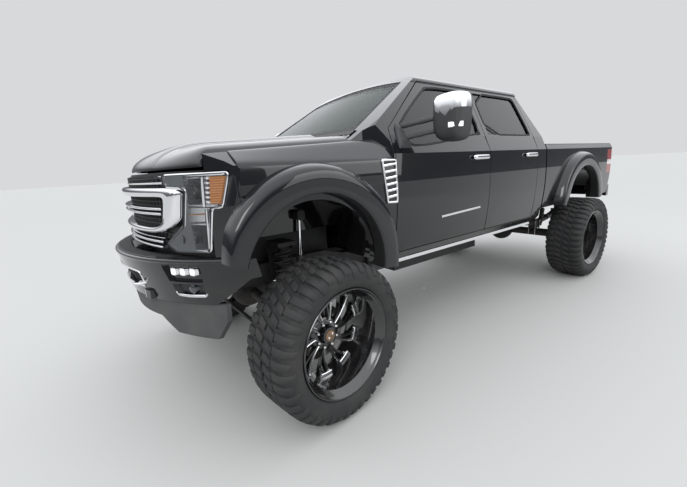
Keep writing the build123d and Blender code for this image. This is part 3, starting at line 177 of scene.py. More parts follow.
def sweep(path, section, up=(0, 0, 1), scale=1.0, closed=False):
    """A flat section along a path: path + across * side + height * lift, side being direction x up."""
    path = np.asarray(path, float)
    section = np.asarray(section, float)
    ahead = np.roll(path, -1, 0) - np.roll(path, 1, 0) if closed else np.gradient(path, axis=0)
    ahead /= np.linalg.norm(ahead, axis=1, keepdims=True)
    across = np.cross(ahead, up)
    across /= np.linalg.norm(across, axis=1, keepdims=True)
    lift = np.cross(across, ahead)
    scale = np.broadcast_to(scale, len(path))[:, None, None]
    return path[:, None] + scale * (section[:, :1] * across[:, None] + section[:, 1:] * lift[:, None])


def turned(profile, count=96):
    """A profile of (along, radius) turned about the X axis: y = radius * cos, z = radius * sin."""
    along, radius = np.asarray(profile, float).T
    angle = np.linspace(0, 2 * np.pi, count, endpoint=False)[:, None]
    return np.stack([along + 0 * angle, radius * np.cos(angle), radius * np.sin(angle)], -1)


def added(name, data):
    """An object that holds a mesh, lamp or camera, linked to the scene."""
    thing = bpy.data.objects.new(name, data)
    bpy.context.collection.objects.link(thing)
    return thing


class Piece:
    """Surfaces gathered into one mesh, each a grid of points with its own finish."""

    def __init__(self, name):
        self.name = name
        self.points, self.faces, self.kinds = [], [], []
        self.count = 0

    def grid(self, points, kind=0, round_u=False, round_v=False, ends=False):
        """Adds points[row, column] as quads, joined round where asked, its first and last row closed."""
        rows, columns = points.shape[:2]
        index = np.arange(rows * columns).reshape(rows, columns) + self.count
        self.points.append(points.reshape(-1, 3))
        self.count += rows * columns
        rings = index[[0, -1]]
        if round_u:
            index = np.vstack([index, index[:1]])
        if round_v:
            index = np.hstack([index, index[:, :1]])
        quads = np.stack([index[:-1, :-1], index[1:, :-1], index[1:, 1:], index[:-1, 1:]], -1)
        self.kinds.append(np.broadcast_to(kind, quads.shape[:2]).reshape(-1))
        self.faces.append(quads.reshape(-1, 4))
        if ends:
            self.faces.append(rings)
            self.kinds.append(np.full(2, kind if np.ndim(kind) == 0 else kind[0]))
        return self

    def tube(self, path, section, kind=0, **how):
        """A closed section along a path, with both ends closed unless the path goes round."""
        closed = how.get("closed", False)
        return self.grid(sweep(path, section, **how), kind, round_u=closed, round_v=True, ends=not closed)

    def sheet(self, front, back, kind=0):
        """Two grids with the same edge as one closed thin solid."""
        for side in (front, back):
            self.grid(side, kind)
        for line in ((0, slice(None)), (-1, slice(None)), (slice(None), 0), (slice(None), -1)):
            self.grid(np.stack([front[line], back[line]]), kind)
        return self

    def mapped(self, change, name=None):
        """A copy with each point moved by a function."""
        copy = Piece(name or self.name)
        copy.points = [change(p) for p in self.points]
        copy.faces, copy.kinds, copy.count = list(self.faces), list(self.kinds), self.count
        return copy

    def flipped(self, name=None):
        """The mirror image across the truck's middle plane."""
        return self.mapped(lambda p: p * (-1, 1, 1), name)

    def join(self, other):
        """Adds all surfaces of another piece."""
        self.points += other.points
        self.faces += [f + self.count for f in other.faces]
        self.kinds += other.kinds
        self.count += other.count
        return self

    def mesh(self, merge=2e-5):
        """The grids as one mesh, with shared edges merged and faces turned outwards."""
        mesh = bpy.data.meshes.new(self.name)
        faces = [face for block in self.faces for face in block.tolist()]
        mesh.from_pydata(place(np.vstack(self.points)).tolist(), [], faces)
        mesh.polygons.foreach_set("material_index", np.concatenate(self.kinds).astype(np.int32))
        work = bmesh.new()
        work.from_mesh(mesh)
        bmesh.ops.remove_doubles(work, verts=work.verts, dist=merge)
        bmesh.ops.recalc_face_normals(work, faces=work.faces)
        work.to_mesh(mesh)
        work.free()
        return mesh

    def build(self, body, finishes, slot, replaces=(), sharp=35):
        """Gives the mesh its finishes and lets it ride on a body, in the place of the solids it replaces."""
        mesh = self.mesh()
        for finish in finishes:
            mesh.materials.append(finish.material)
        mesh.polygons.foreach_set("use_smooth", np.ones(len(mesh.polygons), bool))
        mesh.set_sharp_from_angle(angle=math.radians(sharp))
        piece = added(self.name, mesh)
        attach(piece, body)
        if replaces:
            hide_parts(*replaces)
        print("piece", self.name, len(mesh.polygons))
        return piece


def both_sides(piece):
    """The piece and its mirror image in one."""
    return piece.mapped(lambda p: p).join(piece.flipped())


# %% [markdown]
# ## Finishes
# A finish is a small network of shader nodes. Written as plain sums it reads like the idea behind it, such
# as dust that gathers low down, so a thin wrapper turns Python's operators into Math nodes.

# %% Shader maths
class Value:
    """A socket of a finish under construction; adding or scaling it adds Math nodes."""

    def __init__(self, finish, socket):
        self.finish, self.socket = finish, socket

    def math(self, operation, *others, swap=False):
        terms = [self, *others]
        if swap:
            terms.reverse()
        return self.finish.node("ShaderNodeMath", {"operation": operation}, dict(enumerate(terms)))

    def __add__(self, other):
        return self.math("ADD", other)

    def __sub__(self, other):
        return self.math("SUBTRACT", other)

    def __rsub__(self, other):
        return self.math("SUBTRACT", other, swap=True)

    def __mul__(self, other):
        return self.math("MULTIPLY", other)

    __radd__, __rmul__ = __add__, __mul__

    def within(self, low, high, soft):
        """1 between low and high, falling to 0 over a soft edge."""
        return self.step(low - soft, low + soft) * (1 - self.step(high - soft, high + soft))

    def step(self, low, high):
        """Smooth step from 0 at low to 1 at high."""
        return self.finish.node("ShaderNodeMapRange", {"interpolation_type": "SMOOTHSTEP"},
                                {"Value": self, "From Min": low, "From Max": high})


class Finish:
    """A material with its nodes; node() sets a node's settings first, then its sockets."""

    def __init__(self, name, **shader):
        self.material = bpy.data.materials.new(name)
        self.material.use_nodes = True
        self.tree = self.material.node_tree
        self.shader = self.tree.nodes["Principled BSDF"]
        for key, value in shader.items():
            self.set(key.replace("_", " "), value)

    def give(self, socket, value):
        """Gives a socket a link, a colour or a number."""
        if isinstance(value, Value):
            self.tree.links.new(value.socket, socket)
        elif np.ndim(value) and len(socket.default_value) == 4:
            socket.default_value = (*value, 1)
        else:
            socket.default_value = value

    def set(self, name, value):
        """Gives one of the shader's own sockets a value."""
        self.give(self.shader.inputs[name], value)

    def node(self, kind, settings, inputs, output=0):
        """Adds a node and returns one of its outputs."""
        node = self.tree.nodes.new(kind)
        for key, value in settings.items():
            setattr(node, key, value)
        for key, value in inputs.items():
            self.give(node.inputs[key], value)
        return Value(self, node.outputs[output])

    def here(self):
        """The point on the object, in metres."""
        return self.node("ShaderNodeTexCoord", {}, {}, "Object")

    def axis(self, name):
        """One coordinate of the point on the object."""
        return self.node("ShaderNodeSeparateXYZ", {}, {0: self.here()}, name)

    def noise(self, scale, detail=2, stretch=(1, 1, 1)):
        """Cloudy noise between 0 and 1, its pattern stretched along the axes."""
        where = self.node("ShaderNodeMapping", {}, {"Vector": self.here(), "Scale": stretch})
        return self.node("ShaderNodeTexNoise", {}, {"Vector": where, "Scale": scale, "Detail": detail})

    def cells(self, scale, feature="F1"):
        """Distance in a cell pattern, as of grain."""
        return self.node("ShaderNodeTexVoronoi", {"feature": feature},
                         {"Vector": self.here(), "Scale": scale})

    def mix(self, share, first, second):
        """Colour that goes from the first to the second."""
        return self.node("ShaderNodeMix", {"data_type": "RGBA"}, {0: share, 6: first, 7: second}, 2)

    def bump(self, height, distance, strength=1.0):
        """Raises the surface by a height times a distance in metres."""
        self.set("Normal", self.node("ShaderNodeBump", {}, {"Height": height, "Distance": distance,
                                                            "Strength": strength}))
        return self


# %% [markdown]
# ## Paint
# The body is solid black under a clear coat. The black itself is nearly nothing: what the eye sees is the
# coat mirroring the sky above and the ground below. Real paint has a faint orange-peel ripple and a film of
# road dust low on the sides, so the dust grows towards the sills.

# %% Black paint under clear coat
def road_dust(finish, clean, dusty, low=0.75, high=1.25, most=0.35):
    """Dust share: full at the low height, none at the high one, broken up by noise."""
    share = (1 - finish.axis("Z").step(low, high)) * finish.noise(6, 4).step(0.35, 0.75) * most
    finish.set("Base Color", finish.mix(share, clean, dusty))
    return share


paint = Finish("black_paint", Coat_Weight=1.0, Coat_Roughness=0.02, IOR=1.18)
film = road_dust(paint, (0.006, 0.006, 0.0075), (0.05, 0.046, 0.04), most=0.22)
paint.set("Roughness", film * 0.5 + 0.22)
paint.bump(paint.noise(260, 1), 0.00012, 0.35)

# %% [markdown]
# ## Bright and dark metals
# Chrome is a full metal with almost no roughness; its life comes from what it mirrors, so only faint
# smudges vary its roughness. Chassis parts are satin black with a sandy film, cast parts are coarse, and
# the milled windows of the wheels show the fine lines of the cutter.

# %% Metals
chrome = Finish("bright_chrome", Base_Color=(0.78, 0.78, 0.8), Metallic=1.0)
chrome.set("Roughness", chrome.noise(14, 3) * 0.07 + 0.04)

milled = Finish("milled_edge", Base_Color=(0.82, 0.82, 0.83), Metallic=1.0)
milled.set("Roughness", milled.noise(60, 2, (1, 9, 9)) * 0.16 + 0.12)
milled.bump(milled.noise(420, 1, (1, 6, 6)), 0.0002, 0.4)

wheel_black = Finish("wheel_gloss_black", Coat_Weight=1.0, Coat_Roughness=0.03)
road_dust(wheel_black, (0.006, 0.006, 0.007), (0.06, 0.05, 0.04), 0.1, 0.9, 0.2)
wheel_black.set("Roughness", wheel_black.noise(20, 3) * 0.15 + 0.18)

chassis = Finish("chassis_black")
road_dust(chassis, (0.016, 0.016, 0.017), (0.09, 0.075, 0.06), 0.4, 1.2, 0.6)
chassis.set("Roughness", chassis.noise(9, 4) * 0.3 + 0.42)
chassis.bump(chassis.noise(180, 3), 0.0006, 0.5)

cast = Finish("cast_metal", Metallic=0.7)
road_dust(cast, (0.09, 0.09, 0.095), (0.12, 0.1, 0.08), 0.4, 1.2, 0.6)
cast.set("Roughness", cast.noise(22, 4) * 0.25 + 0.5)
cast.bump(cast.noise(90, 4), 0.0014, 0.6)

steel = Finish("bare_steel", Metallic=1.0)
rust = steel.noise(7, 5).step(0.5, 0.75)
steel.set("Base Color", steel.mix(rust * 0.5, (0.42, 0.4, 0.38), (0.2, 0.11, 0.06)))
steel.set("Roughness", rust * 0.35 + 0.3)

bronze = Finish("cap_bronze", Base_Color=(0.3, 0.2, 0.13), Metallic=1.0)
bronze.set("Roughness", bronze.noise(40, 3) * 0.2 + 0.25)
print("metals", len(bpy.data.materials))

# %% [markdown]
# ## Plastics, rubber and leather
# Moulded plastic shows a fine pebble grain, which a cell pattern gives. Tread rubber is matt and holds pale
# dust in its grooves. Leather has a larger, softer grain than plastic.

# %% Plastics, rubber and leather
def grained(name, colour, roughness, scale=700, depth=0.0004, dust=0.0):
    """Moulded plastic: a flat colour, a pebble grain and some unevenness in its sheen."""
    finish = Finish(name)
    road_dust(finish, colour, (0.12, 0.11, 0.095), 0.5, 1.5, dust)
    finish.set("Roughness", finish.noise(11, 3) * 0.14 + roughness)
    return finish.bump(finish.cells(scale), depth, 0.5)


black_plastic = grained("satin_black_plastic", (0.017, 0.017, 0.018), 0.42)
grey_plastic = grained("matt_grey_plastic", (0.05, 0.052, 0.055), 0.62, 500, 0.0006, 0.3)
charcoal = grained("mirror_charcoal", (0.028, 0.029, 0.031), 0.5, 600)
trim_plastic = grained("cabin_plastic", (0.028, 0.028, 0.03), 0.55, 450, 0.0006)
seal_rubber = grained("seal_rubber", (0.012, 0.012, 0.012), 0.6, 900)

tread = Finish("tread_rubber")
groove = tread.noise(5, 4).step(0.4, 0.72)
tread.set("Base Color", tread.mix(groove * 0.5, (0.017, 0.0172, 0.018), (0.04, 0.038, 0.035)))
tread.set("Roughness", tread.noise(30, 3) * 0.2 + 0.68)
tread.bump(tread.noise(240, 4), 0.0012, 0.5)

leather = Finish("seat_leather", Coat_Weight=0.1)
worn = leather.noise(4, 3).step(0.5, 0.8)
leather.set("Base Color", leather.mix(worn * 0.6, (0.03, 0.029, 0.029), (0.055, 0.052, 0.05)))
leather.set("Roughness", worn * 0.12 + 0.42)
leather.bump(leather.cells(230), 0.0012, 0.6)
print("finishes", len(bpy.data.materials))

# %% [markdown]
# ## Glass and lamps
# Car glass is thin, so it is drawn as a clear coat of reflection over tinted see-through, and not as a
# thick lens: a mix of a glossy and a transparent part by Fresnel keeps the cabin visible.

# %% Glass and lamps
def pane(name, tint, clear, roughness=0.0):
    """Thin glass: the shader's alpha rises where the view grazes it, from a base share up to full mirror."""
    finish = Finish(name, Base_Color=tint, Roughness=roughness, Coat_Weight=0.0, IOR=1.52)
    rim = finish.node("ShaderNodeFresnel", {}, {"IOR": 1.5})
    finish.set("Alpha", rim * (1 - clear) + clear)
    return finish


screen_glass = pane("windscreen_glass", (0.03, 0.045, 0.04), 0.22)
dark_glass = pane("privacy_glass", (0.004, 0.004, 0.005), 0.86)
lamp_cover = pane("lamp_cover", (0.2, 0.21, 0.22), 0.03)

amber = Finish("amber_lens", Coat_Weight=1.0, Roughness=0.18)
slots = amber.node("ShaderNodeTexWave", {"bands_direction": "Z"}, {"Vector": amber.here(), "Scale": 24.0})
amber.set("Base Color", amber.mix(slots, (0.5, 0.14, 0.015), (0.85, 0.33, 0.05)))
amber.bump(slots, 0.002, 0.6)

red_lens = Finish("red_lens", Coat_Weight=1.0, Roughness=0.15)
band = red_lens.axis("Z").within(1.405, 1.47, 0.004)
prism = red_lens.cells(140, "DISTANCE_TO_EDGE").step(0.0, 0.15)
red_lens.set("Base Color", red_lens.mix(band, (0.3, 0.006, 0.008), (0.75, 0.7, 0.7)))
red_lens.bump(prism, 0.0015, 0.5)

led = Finish("white_lamp", Base_Color=(0.85, 0.86, 0.88), Roughness=0.15, Coat_Weight=1.0,
             Emission_Strength=0.35)
led.set("Emission Color", led.mix(led.cells(300).step(0.1, 0.5), (1.0, 0.98, 0.94), (0.7, 0.72, 0.75)))

reflector = Finish("lamp_reflector", Base_Color=(0.7, 0.71, 0.73), Metallic=1.0)
reflector.set("Roughness", reflector.noise(30, 2) * 0.1 + 0.1)
lens = Finish("projector_lens", Base_Color=(0.02, 0.025, 0.03), Coat_Weight=1.0)
lens.set("Roughness", lens.noise(50, 2) * 0.05 + 0.03)
mirror_glass = Finish("mirror_glass", Base_Color=(0.6, 0.62, 0.64), Metallic=1.0)
mirror_glass.set("Roughness", mirror_glass.noise(8, 2) * 0.02 + 0.02)
print("all finishes", len(bpy.data.materials))

# %% [markdown]
# ## Dressing the solids
# Where a solid already has the right shape it only needs its finish.

# %% Finish of each solid
SOLID_FINISH = {
    "cab": paint, "hood": paint, "fenders": paint, "front_bumper": paint, "bed": paint, "tailgate": paint,
    "rear_bumper": paint, "door_front_left": paint, "door_front_right": paint, "door_rear_left": paint,
    "door_rear_right": paint, "flares": paint, "dashboard": trim_plastic, "steering_wheel": trim_plastic,
    "front_seats": leather, "rear_seat": leather, "windscreen": screen_glass, "rear_window": dark_glass,
    "rocker_trims": chrome, "air_dam": grey_plastic, "grille": chrome, "headlamps": reflector,
    "fender_vents": chrome, "radiator": black_plastic, "tail_lamps": red_lens, "frame": chassis,
    "engine": cast, "front_axle": chassis, "rear_axle": chassis, "front_suspension": chassis,
    "rear_suspension": chassis, "driveline": cast, "exhaust": steel, "fuel_tank": black_plastic,
    "knuckle_left": cast, "knuckle_right": cast, "tie_rod": chassis, "glass_front_left": dark_glass,
    "glass_front_right": dark_glass, "glass_rear_left": dark_glass, "glass_rear_right": dark_glass,
    "mirror_left": charcoal, "mirror_right": charcoal,
}
for node_name, solid in NODES.items():
    finish = SOLID_FINISH.get(node_name, wheel_black if node_name.startswith("wheel") else tread)
    solid.data.materials.clear()
    solid.data.materials.append(finish.material)
print("dressed", len(NODES))

# %% [markdown]
# ## Tyres
# A mud tyre is a smooth carcass with lugs moulded on it. Its section is worked out as one curve, and each
# lug is a small pad given in two lengths: s around the tyre and t across it, measured along that curve.
# Because t follows the curve, the shoulder lugs wrap down onto the sidewall as the real ones do. A lug has
# few faces, since there are hundreds of them.

# %% Tyre section and lugs
PITCHES = 44
CARCASS = [(-127, 318), (-162, 332.5), (-168, 350), (-184, 362), (-197, 392), (-201, 425), (-193, 458),
           (-168, 482), (-120, 489), (-60, 490.5), (0, 491)]
section = np.array(CARCASS + [(-a, r) for a, r in CARCASS[-2::-1]], float)
section = np.vstack([section[:3], curve_through(section[2:-2], 64)[1:-1], section[-3:]])
ring = np.exp(-((section[:, 1] - 386) / 3.5) ** 2) + np.exp(-((section[:, 1] - 441) / 3) ** 2)
section[:, 0] += np.sign(section[:, 0]) * ring * 2.4
run = np.concatenate([[0], np.cumsum(np.linalg.norm(np.diff(section, axis=0), axis=1))])
run -= run[-1] / 2
outward = np.stack([-np.gradient(section[:, 1], run), np.gradient(section[:, 0], run)], -1)
outward *= np.sign(outward[len(outward) // 2, 1])


def on_tyre(s, t, height):
    """Tyre surface: angle = s / radius, section point at t, plus a height along the section's normal."""
    along = np.interp(t, run, section[:, 0]) + height * np.interp(t, run, outward[:, 0])
    radius = np.interp(t, run, section[:, 1]) + height * np.interp(t, run, outward[:, 1])
    along, radius, angle = np.broadcast_arrays(along, radius, s / TYRE_RADIUS)
    return np.stack([along, radius * np.cos(angle), radius * np.sin(angle)], -1)


def tread_height(t):
    """17 mm over the tread, falling to 5 mm at the end of the lug on the sidewall."""
    return np.interp(abs(t), [0, 150, 190, 250], [17, 18, 11, 5])


def lug(t0, t1, middle, width):
    """Pad from t0 to t1: s = middle(t) + u * width(t), its rim down in the carcass and its top flat."""
    v = np.array([0, 0, 0.06, 0.3, 0.55, 0.8, 0.95, 1, 1])
    u = np.array([-0.5, -0.5, -0.44, 0.44, 0.5, 0.5])
    t = (t0 + (t1 - t0) * v)[:, None]
    rim = np.minimum(np.array([0, 0, 1, 1, 0, 0])[None], np.array([0, 0, 1, 1, 1, 1, 1, 0, 0])[:, None])
    foot = np.minimum(np.array([0, 1, 1, 1, 1, 0])[None], np.array([0, 1, 1, 1, 1, 1, 1, 1, 0])[:, None])
    height = np.where(foot == 0, -3.0, tread_height(t) - 2.5 * (1 - rim))
    return lambda at: on_tyre(at + middle(t) + u[None] * width(t), t + 0 * u[None], height)


def shoulder_lug(end, widths):
    """Lug on the tread's edge that runs down the sidewall to an end, swept a little by a sine."""
    return lug(92, end, lambda t: 6 * np.sin((abs(t) - 92) / 50),
               lambda t: np.interp(abs(t), [92, 160, end], widths))


LONG_LUG = shoulder_lug(244, [43, 47, 38])
SHORT_LUG = shoulder_lug(216, [43, 46, 42])
MIDDLE_LUG = lug(10, 84, lambda t: (t - 47) * 0.42, lambda t: 44 - abs(t - 47) * 0.2)
tyre = Piece("tyre")
around = np.linspace(0, 2 * np.pi * TYRE_RADIUS, 120, endpoint=False)[:, None]
tyre.grid(on_tyre(around, run[None], 0 * run[None]), round_u=True, round_v=True)
step = 2 * np.pi * TYRE_RADIUS / PITCHES
for count in range(PITCHES):
    for pad in (SHORT_LUG if count % 2 else LONG_LUG, MIDDLE_LUG):
        tyre.grid(pad(count * step))
        tyre.grid(pad(-(count + 0.5) * step) * (-1, 1, -1))
print("tyre quads", sum(len(f) for f in tyre.faces))

# %% [markdown]
# ## Wheels
# The wheel is a deep dish: a lip, a barrel and, far inside, a hub with twisted split spokes whose front
# edges are milled bright. Barrel and hub are turned. A spoke is a four-sided blade carried from hub to
# barrel, and since the milled face is one side of that blade, it is one column of its grid.

# %% Wheel: barrel, hub and spokes
BARREL = [(-182, 348), (-168, 348), (-162, 332), (-122, 312), (118, 312), (160, 332), (166, 348), (178, 350),
          (183, 346), (183, 341), (176, 338), (170, 331), (162, 325), (150, 318), (130, 301), (60, 299),
          (-120, 297), (-165, 316), (-182, 330)]
HUB = [(-109.5, 40), (-109.5, 70), (-79, 70), (-79, 120), (-52, 122), (-40, 112), (-34, 98), (-36, 64),
       (-30, 60), (-8, 58), (2, 52), (5, 40)]
DISC = [(-101, 70), (-101, 185), (-93, 185), (-93, 178), (-88, 178), (-88, 185), (-80, 185), (-80, 70)]
wheel = Piece("wheel")
wheel.grid(turned(BARREL, 128), round_u=True, round_v=True)
wheel.grid(turned(HUB), round_u=True)
wheel.grid(turned([(5, 40), (9, 38), (10, 30), (10, 0.01)]), kind=2, round_u=True)
wheel.grid(turned(DISC), kind=3, round_u=True)
SPOKES = 10
TWIST = np.radians(15)
NUTS = 8
AHEAD = np.array([1.0, 0, 0])
reach = np.linspace(0, 1, 15)
blade_depth = -34 - 18 * reach
wide = np.interp(reach, [0, 0.5, 1], [9, 9.5, 15])[:, None]
thick = np.interp(reach, [0, 0.5, 1], [26, 22, 34])[:, None]
for count in range(SPOKES):
    for half in (-1, 1):
        parting = half * np.radians(7.4) * reach ** 0.8
        swirl = 2 * np.pi * count / SPOKES + TWIST * reach ** 1.3 + parting
        radius = 92 + (302 - 92) * reach
        tangent = np.stack([0 * swirl, -np.sin(swirl), np.cos(swirl)], -1)
        spine = np.stack([blade_depth, radius * np.cos(swirl), radius * np.sin(swirl)], -1)
        side = wide * tangent
        corners = [spine - side - thick * AHEAD, spine - side - 7 * half * AHEAD,
                   spine - 0.55 * side + 3 * AHEAD, spine + 0.55 * side + 3 * AHEAD,
                   spine + side + 7 * half * AHEAD, spine + side - thick * AHEAD]
        bright = np.array([0, 0, 0, 1, 0, 0]) if half > 0 else np.array([0, 1, 0, 0, 0, 0])
        wheel.grid(np.stack(corners, 1), kind=bright[None], round_v=True)
for count in range(SPOKES):
    arc = 2 * np.pi * count / SPOKES + TWIST + np.radians(np.linspace(-9, 9, 7))
    bar = np.stack([np.full(7, -47.0), 288 * np.cos(arc), 288 * np.sin(arc)], -1)
    wheel.tube(bar, squircle(22, 22, 4, 8), 1, up=(1, 0, 0))


def fasten(profile, sides, reach, angle):
    """Sets a nut or bolt into the wheel, a distance from its axis at an angle."""
    centre = (0, reach * math.cos(angle), reach * math.sin(angle))
    wheel.grid(turned(profile, sides) + centre, kind=1, round_u=True)


for count in range(NUTS):
    fasten([(-36, 11), (-14, 11), (-10, 7), (-10, 0.01)], 6, 84, 2 * np.pi * (count + 0.5) / NUTS)
for angle in (0.6, 0.6 + math.pi):
    fasten([(8, 9), (16, 9), (18, 6), (18, 0.01)], 12, 19, angle)
print("wheel quads", sum(len(f) for f in wheel.faces))


# %% [markdown]
# ## On its axle
# The four corners share one tyre and one wheel. The front ones are turned about their kingpins, as parked.

# %% Put the wheels on
def corner(piece, kind, end, hand):
    """The wheel-centred piece moved to its corner: mirrored for the right, steered for the front."""
    sign = 1 if hand == "left" else -1
    station = 0 if end == "front" else WHEELBASE

    def move(p):
        p = p * (sign, 1, 1) + (sign * WHEEL_X, station, TYRE_RADIUS)
        if end == "front":
            c, s = math.cos(PARKED_STEER), math.sin(PARKED_STEER)
            x, y = p[:, 0] - sign * KINGPIN_X, p[:, 1]
            p = np.stack([sign * KINGPIN_X + x * c - y * s, x * s + y * c, p[:, 2]], -1)
        return p
    return piece.mapped(move, f"{kind}_{end}_{hand}_dressed")


for end in ("front", "rear"):
    for hand in ("left", "right"):
        corner(tyre, "tyre", end, hand).build(f"wheel_{end}_{hand}", [tread], "tyre_rubber",
                                              [f"tyre_{end}_{hand}"], sharp=50)
        corner(wheel, "wheel", end, hand).build(
            f"wheel_{end}_{hand}", [wheel_black, milled, bronze, steel],
            "wheel_gloss", [f"wheel_{end}_{hand}"], sharp=38)

# %% [markdown]
# ## Arch flares
# The flares bulge out over the tyres and roll under into a dark lip. One section, given by how far it
# stands from the body and how far from the arch's centre, is carried round the arch by angle, and it
# narrows where the front flare meets the lamp and the bumper.

# %% Flares round the arches
FLARE_CENTRE_Z = 928
FLARE_SECTION = np.array([(0, 676), (0.18, 672), (0.55, 662), (0.84, 645), (0.96, 622), (1.0, 592),
                          (1.0, 555), (0.985, 524), (0.95, 506), (0.86, 498), (0.6, 497), (0.2, 499), (-0.35, 503)])


def flare(station, first, last, taper):
    """Section round the arch: y = -r cos(angle), z = r sin(angle); x blends from the body out to 1096."""
    angle = np.radians(np.linspace(first, last, 73))[:, None]
    line = curve_through(FLARE_SECTION, 40)
    share, radius = line[:, 0][None], line[:, 1][None]
    radius = 498 + (radius - 498) * taper(np.degrees(angle))
    y, z = -radius * np.cos(angle), FLARE_CENTRE_Z + radius * np.sin(angle)
    root = side_x(z) - 3
    return np.stack([root + (1096 - root) * share, station + y, z + 0 * share], -1)


flares = Piece("arch_flares")
for station, first, last, taper in ((0, 17.5, 187, lambda a: np.interp(a, [17, 34, 60], [0.62, 0.9, 1])),
                                    (WHEELBASE, 5, 175, lambda a: np.ones_like(a))):
    skin = flare(station, first, last, taper)
    pull = (skin - (0, station, FLARE_CENTRE_Z)) * (0, 1, 1)
    pull /= np.linalg.norm(pull, axis=-1, keepdims=True)
    inward = np.interp(np.arange(40), [0, 12, 24, 39], [10, 10, 0, -6])[None, :, None]
    sideways = np.interp(np.arange(40), [0, 8, 22, 39], [0, 7, 9, 0])[None, :, None]
    inner = skin - pull * inward - sideways * (1, 0, 0)
    lip = (np.arange(39) > 27).astype(int)
    flares.grid(skin, kind=lip[None]).grid(inner, kind=1)
    for row in (0, -1):
        flares.grid(np.stack([skin[row], inner[row]]), kind=0)
    for column in (0, -1):
        flares.grid(np.stack([skin[:, column], inner[:, column]]), kind=1)
both_sides(flares).build("chassis", [paint, black_plastic], "paint", ["flares"], sharp=45)

# %% [markdown]
# ## Grille
# A wide bright frame with cut lower corners holds a double bar, with slats above and below it and a dark
# lattice behind. The frame is drawn between two outlines with matching corners: at each point its section
# runs from the outer line to the inner one with a crown between. Everything is laid on the bowed nose.

# %% Grille frame, slats and lattice
def nose_band(outer, inner, crown, depth=34, count=260):
    """Band between two closed outlines (x, z): crowned forward and folded back at its edges."""
    outer, inner = (evenly(cut_corners(p, 3), count, True) for p in (outer, inner))
    share = np.array([0, 0, 0.08, 0.25, 0.5, 0.75, 0.92, 1, 1])
    rise = np.array([depth, 3, -0.45 * crown, -0.85 * crown, -crown, -0.85 * crown, -0.45 * crown, 3, depth])
    line = outer[:, None] + (inner - outer)[:, None] * share[None, :, None]
    return on_nose(line[..., 0], line[..., 1], rise[None])


def corners(half):
    """The right-hand corner points and their mirror image, as one closed outline."""
    return np.array([*half, *[(-x, z) for x, z in reversed(half)]], float)


grille = Piece("grille_dressed")
OUTER = [(260, 1509), (560, 1508), (690, 1506), (723, 1488), (706, 1396), (692, 1306), (577, 1250),
         (260, 1246)]
INNER = [(255, 1457), (545, 1458), (622, 1457), (636, 1444), (620, 1380), (606, 1320), (548, 1281),
         (255, 1278)]
grille.grid(nose_band(corners(OUTER), corners(INNER), 12), round_u=True, round_v=True)
for z, half, tall, proud in ((1533, 590, 15, 30), (1567, 590, 15, 48), (1363, 598, 17, -5), (1391, 606, 17, -5),
                             (1166, 552, 17, 0), (1198, 566, 17, 0), (1222, 572, 8, 10)):
    x = np.linspace(-half, half, 61)
    slat = sweep(on_nose(x, z, 16 + proud), squircle(34, tall, 3, 14))
    grille.grid(slat, round_v=True, ends=True)
x = np.linspace(-640, 640, 61)
z = np.array([1150, 1580])[:, None]
grille.sheet(on_nose(x, z, 50), on_nose(x, z, 60), kind=1)
for x in np.arange(-600, 601, 40):
    low, high = (1155, 1575) if abs(x) < 560 else (1290, 1500)
    grille.tube([on_nose(x, z, 44) for z in (low, high)], squircle(6, 16, 4, 8), 1, up=(0, 1, 0))
for z in np.arange(1170, 1570, 26):
    x = np.linspace(-590, 590, 41)
    grille.grid(sweep(on_nose(x, z, 42), squircle(12, 5, 4, 8)), kind=1, round_v=True, ends=True)
grille.build("chassis", [chrome, black_plastic], "bright_trim", ["grille"], sharp=40)

# %% [markdown]
# ## Headlamps
# Each lamp is a tall unit round the corner of the nose: a bowl with an upper projector and two lower ones,
# a bright middle band, a bright bar beside an amber corner with small white lamps, and a clear cover over
# all of it. Its outline is two edges as functions of height, so every sheet of it is one grid.

# %% Headlamps
LEFT_EDGE = np.array([(1150, 664), (1194, 604), (1296, 726), (1488, 761), (1510, 738), (1518, 644),
                      (1574, 640)])
RIGHT_EDGE = np.array([(1150, 856), (1390, 889), (1400, 935), (1574, 974)])
LAMP_MIDDLE = (800, 1370)


def lamp_side(edge, place_x, z, z0, z1):
    """The x at a height: an inset from an edge, or a straight line between two given x at z0 and z1."""
    if np.ndim(place_x):
        return place_x[0] + (place_x[1] - place_x[0]) * (z - z0) / (z1 - z0)
    return np.interp(z, edge[:, 0], edge[:, 1]) + place_x


def lamp_sheet(z0, z1, left, right, depth, rows):
    """Sheet on the nose between two sides at heights z0 to z1."""
    z = np.linspace(z0, z1, rows)[:, None]
    u = np.linspace(0, 1, 14)[None]
    x0 = lamp_side(LEFT_EDGE, left, z, z0, z1)
    x1 = lamp_side(RIGHT_EDGE, right, z, z0, z1)
    return on_nose(x0 + (x1 - x0) * u, z + 0 * u, depth)


def lamp_bar(points, width, tall, depth, kind=0):
    """Rounded bar along front-view points (x, z) laid on the nose."""
    line = np.asarray(points, float)
    lamps.tube(on_nose(*line.T, depth), squircle(width, tall, 3, 12), kind, up=(0, 1, 0))


def drawn_in(line, share):
    """An outline (x, z) pulled towards the lamp's middle by a share in each direction."""
    return line + (LAMP_MIDDLE - line) * share


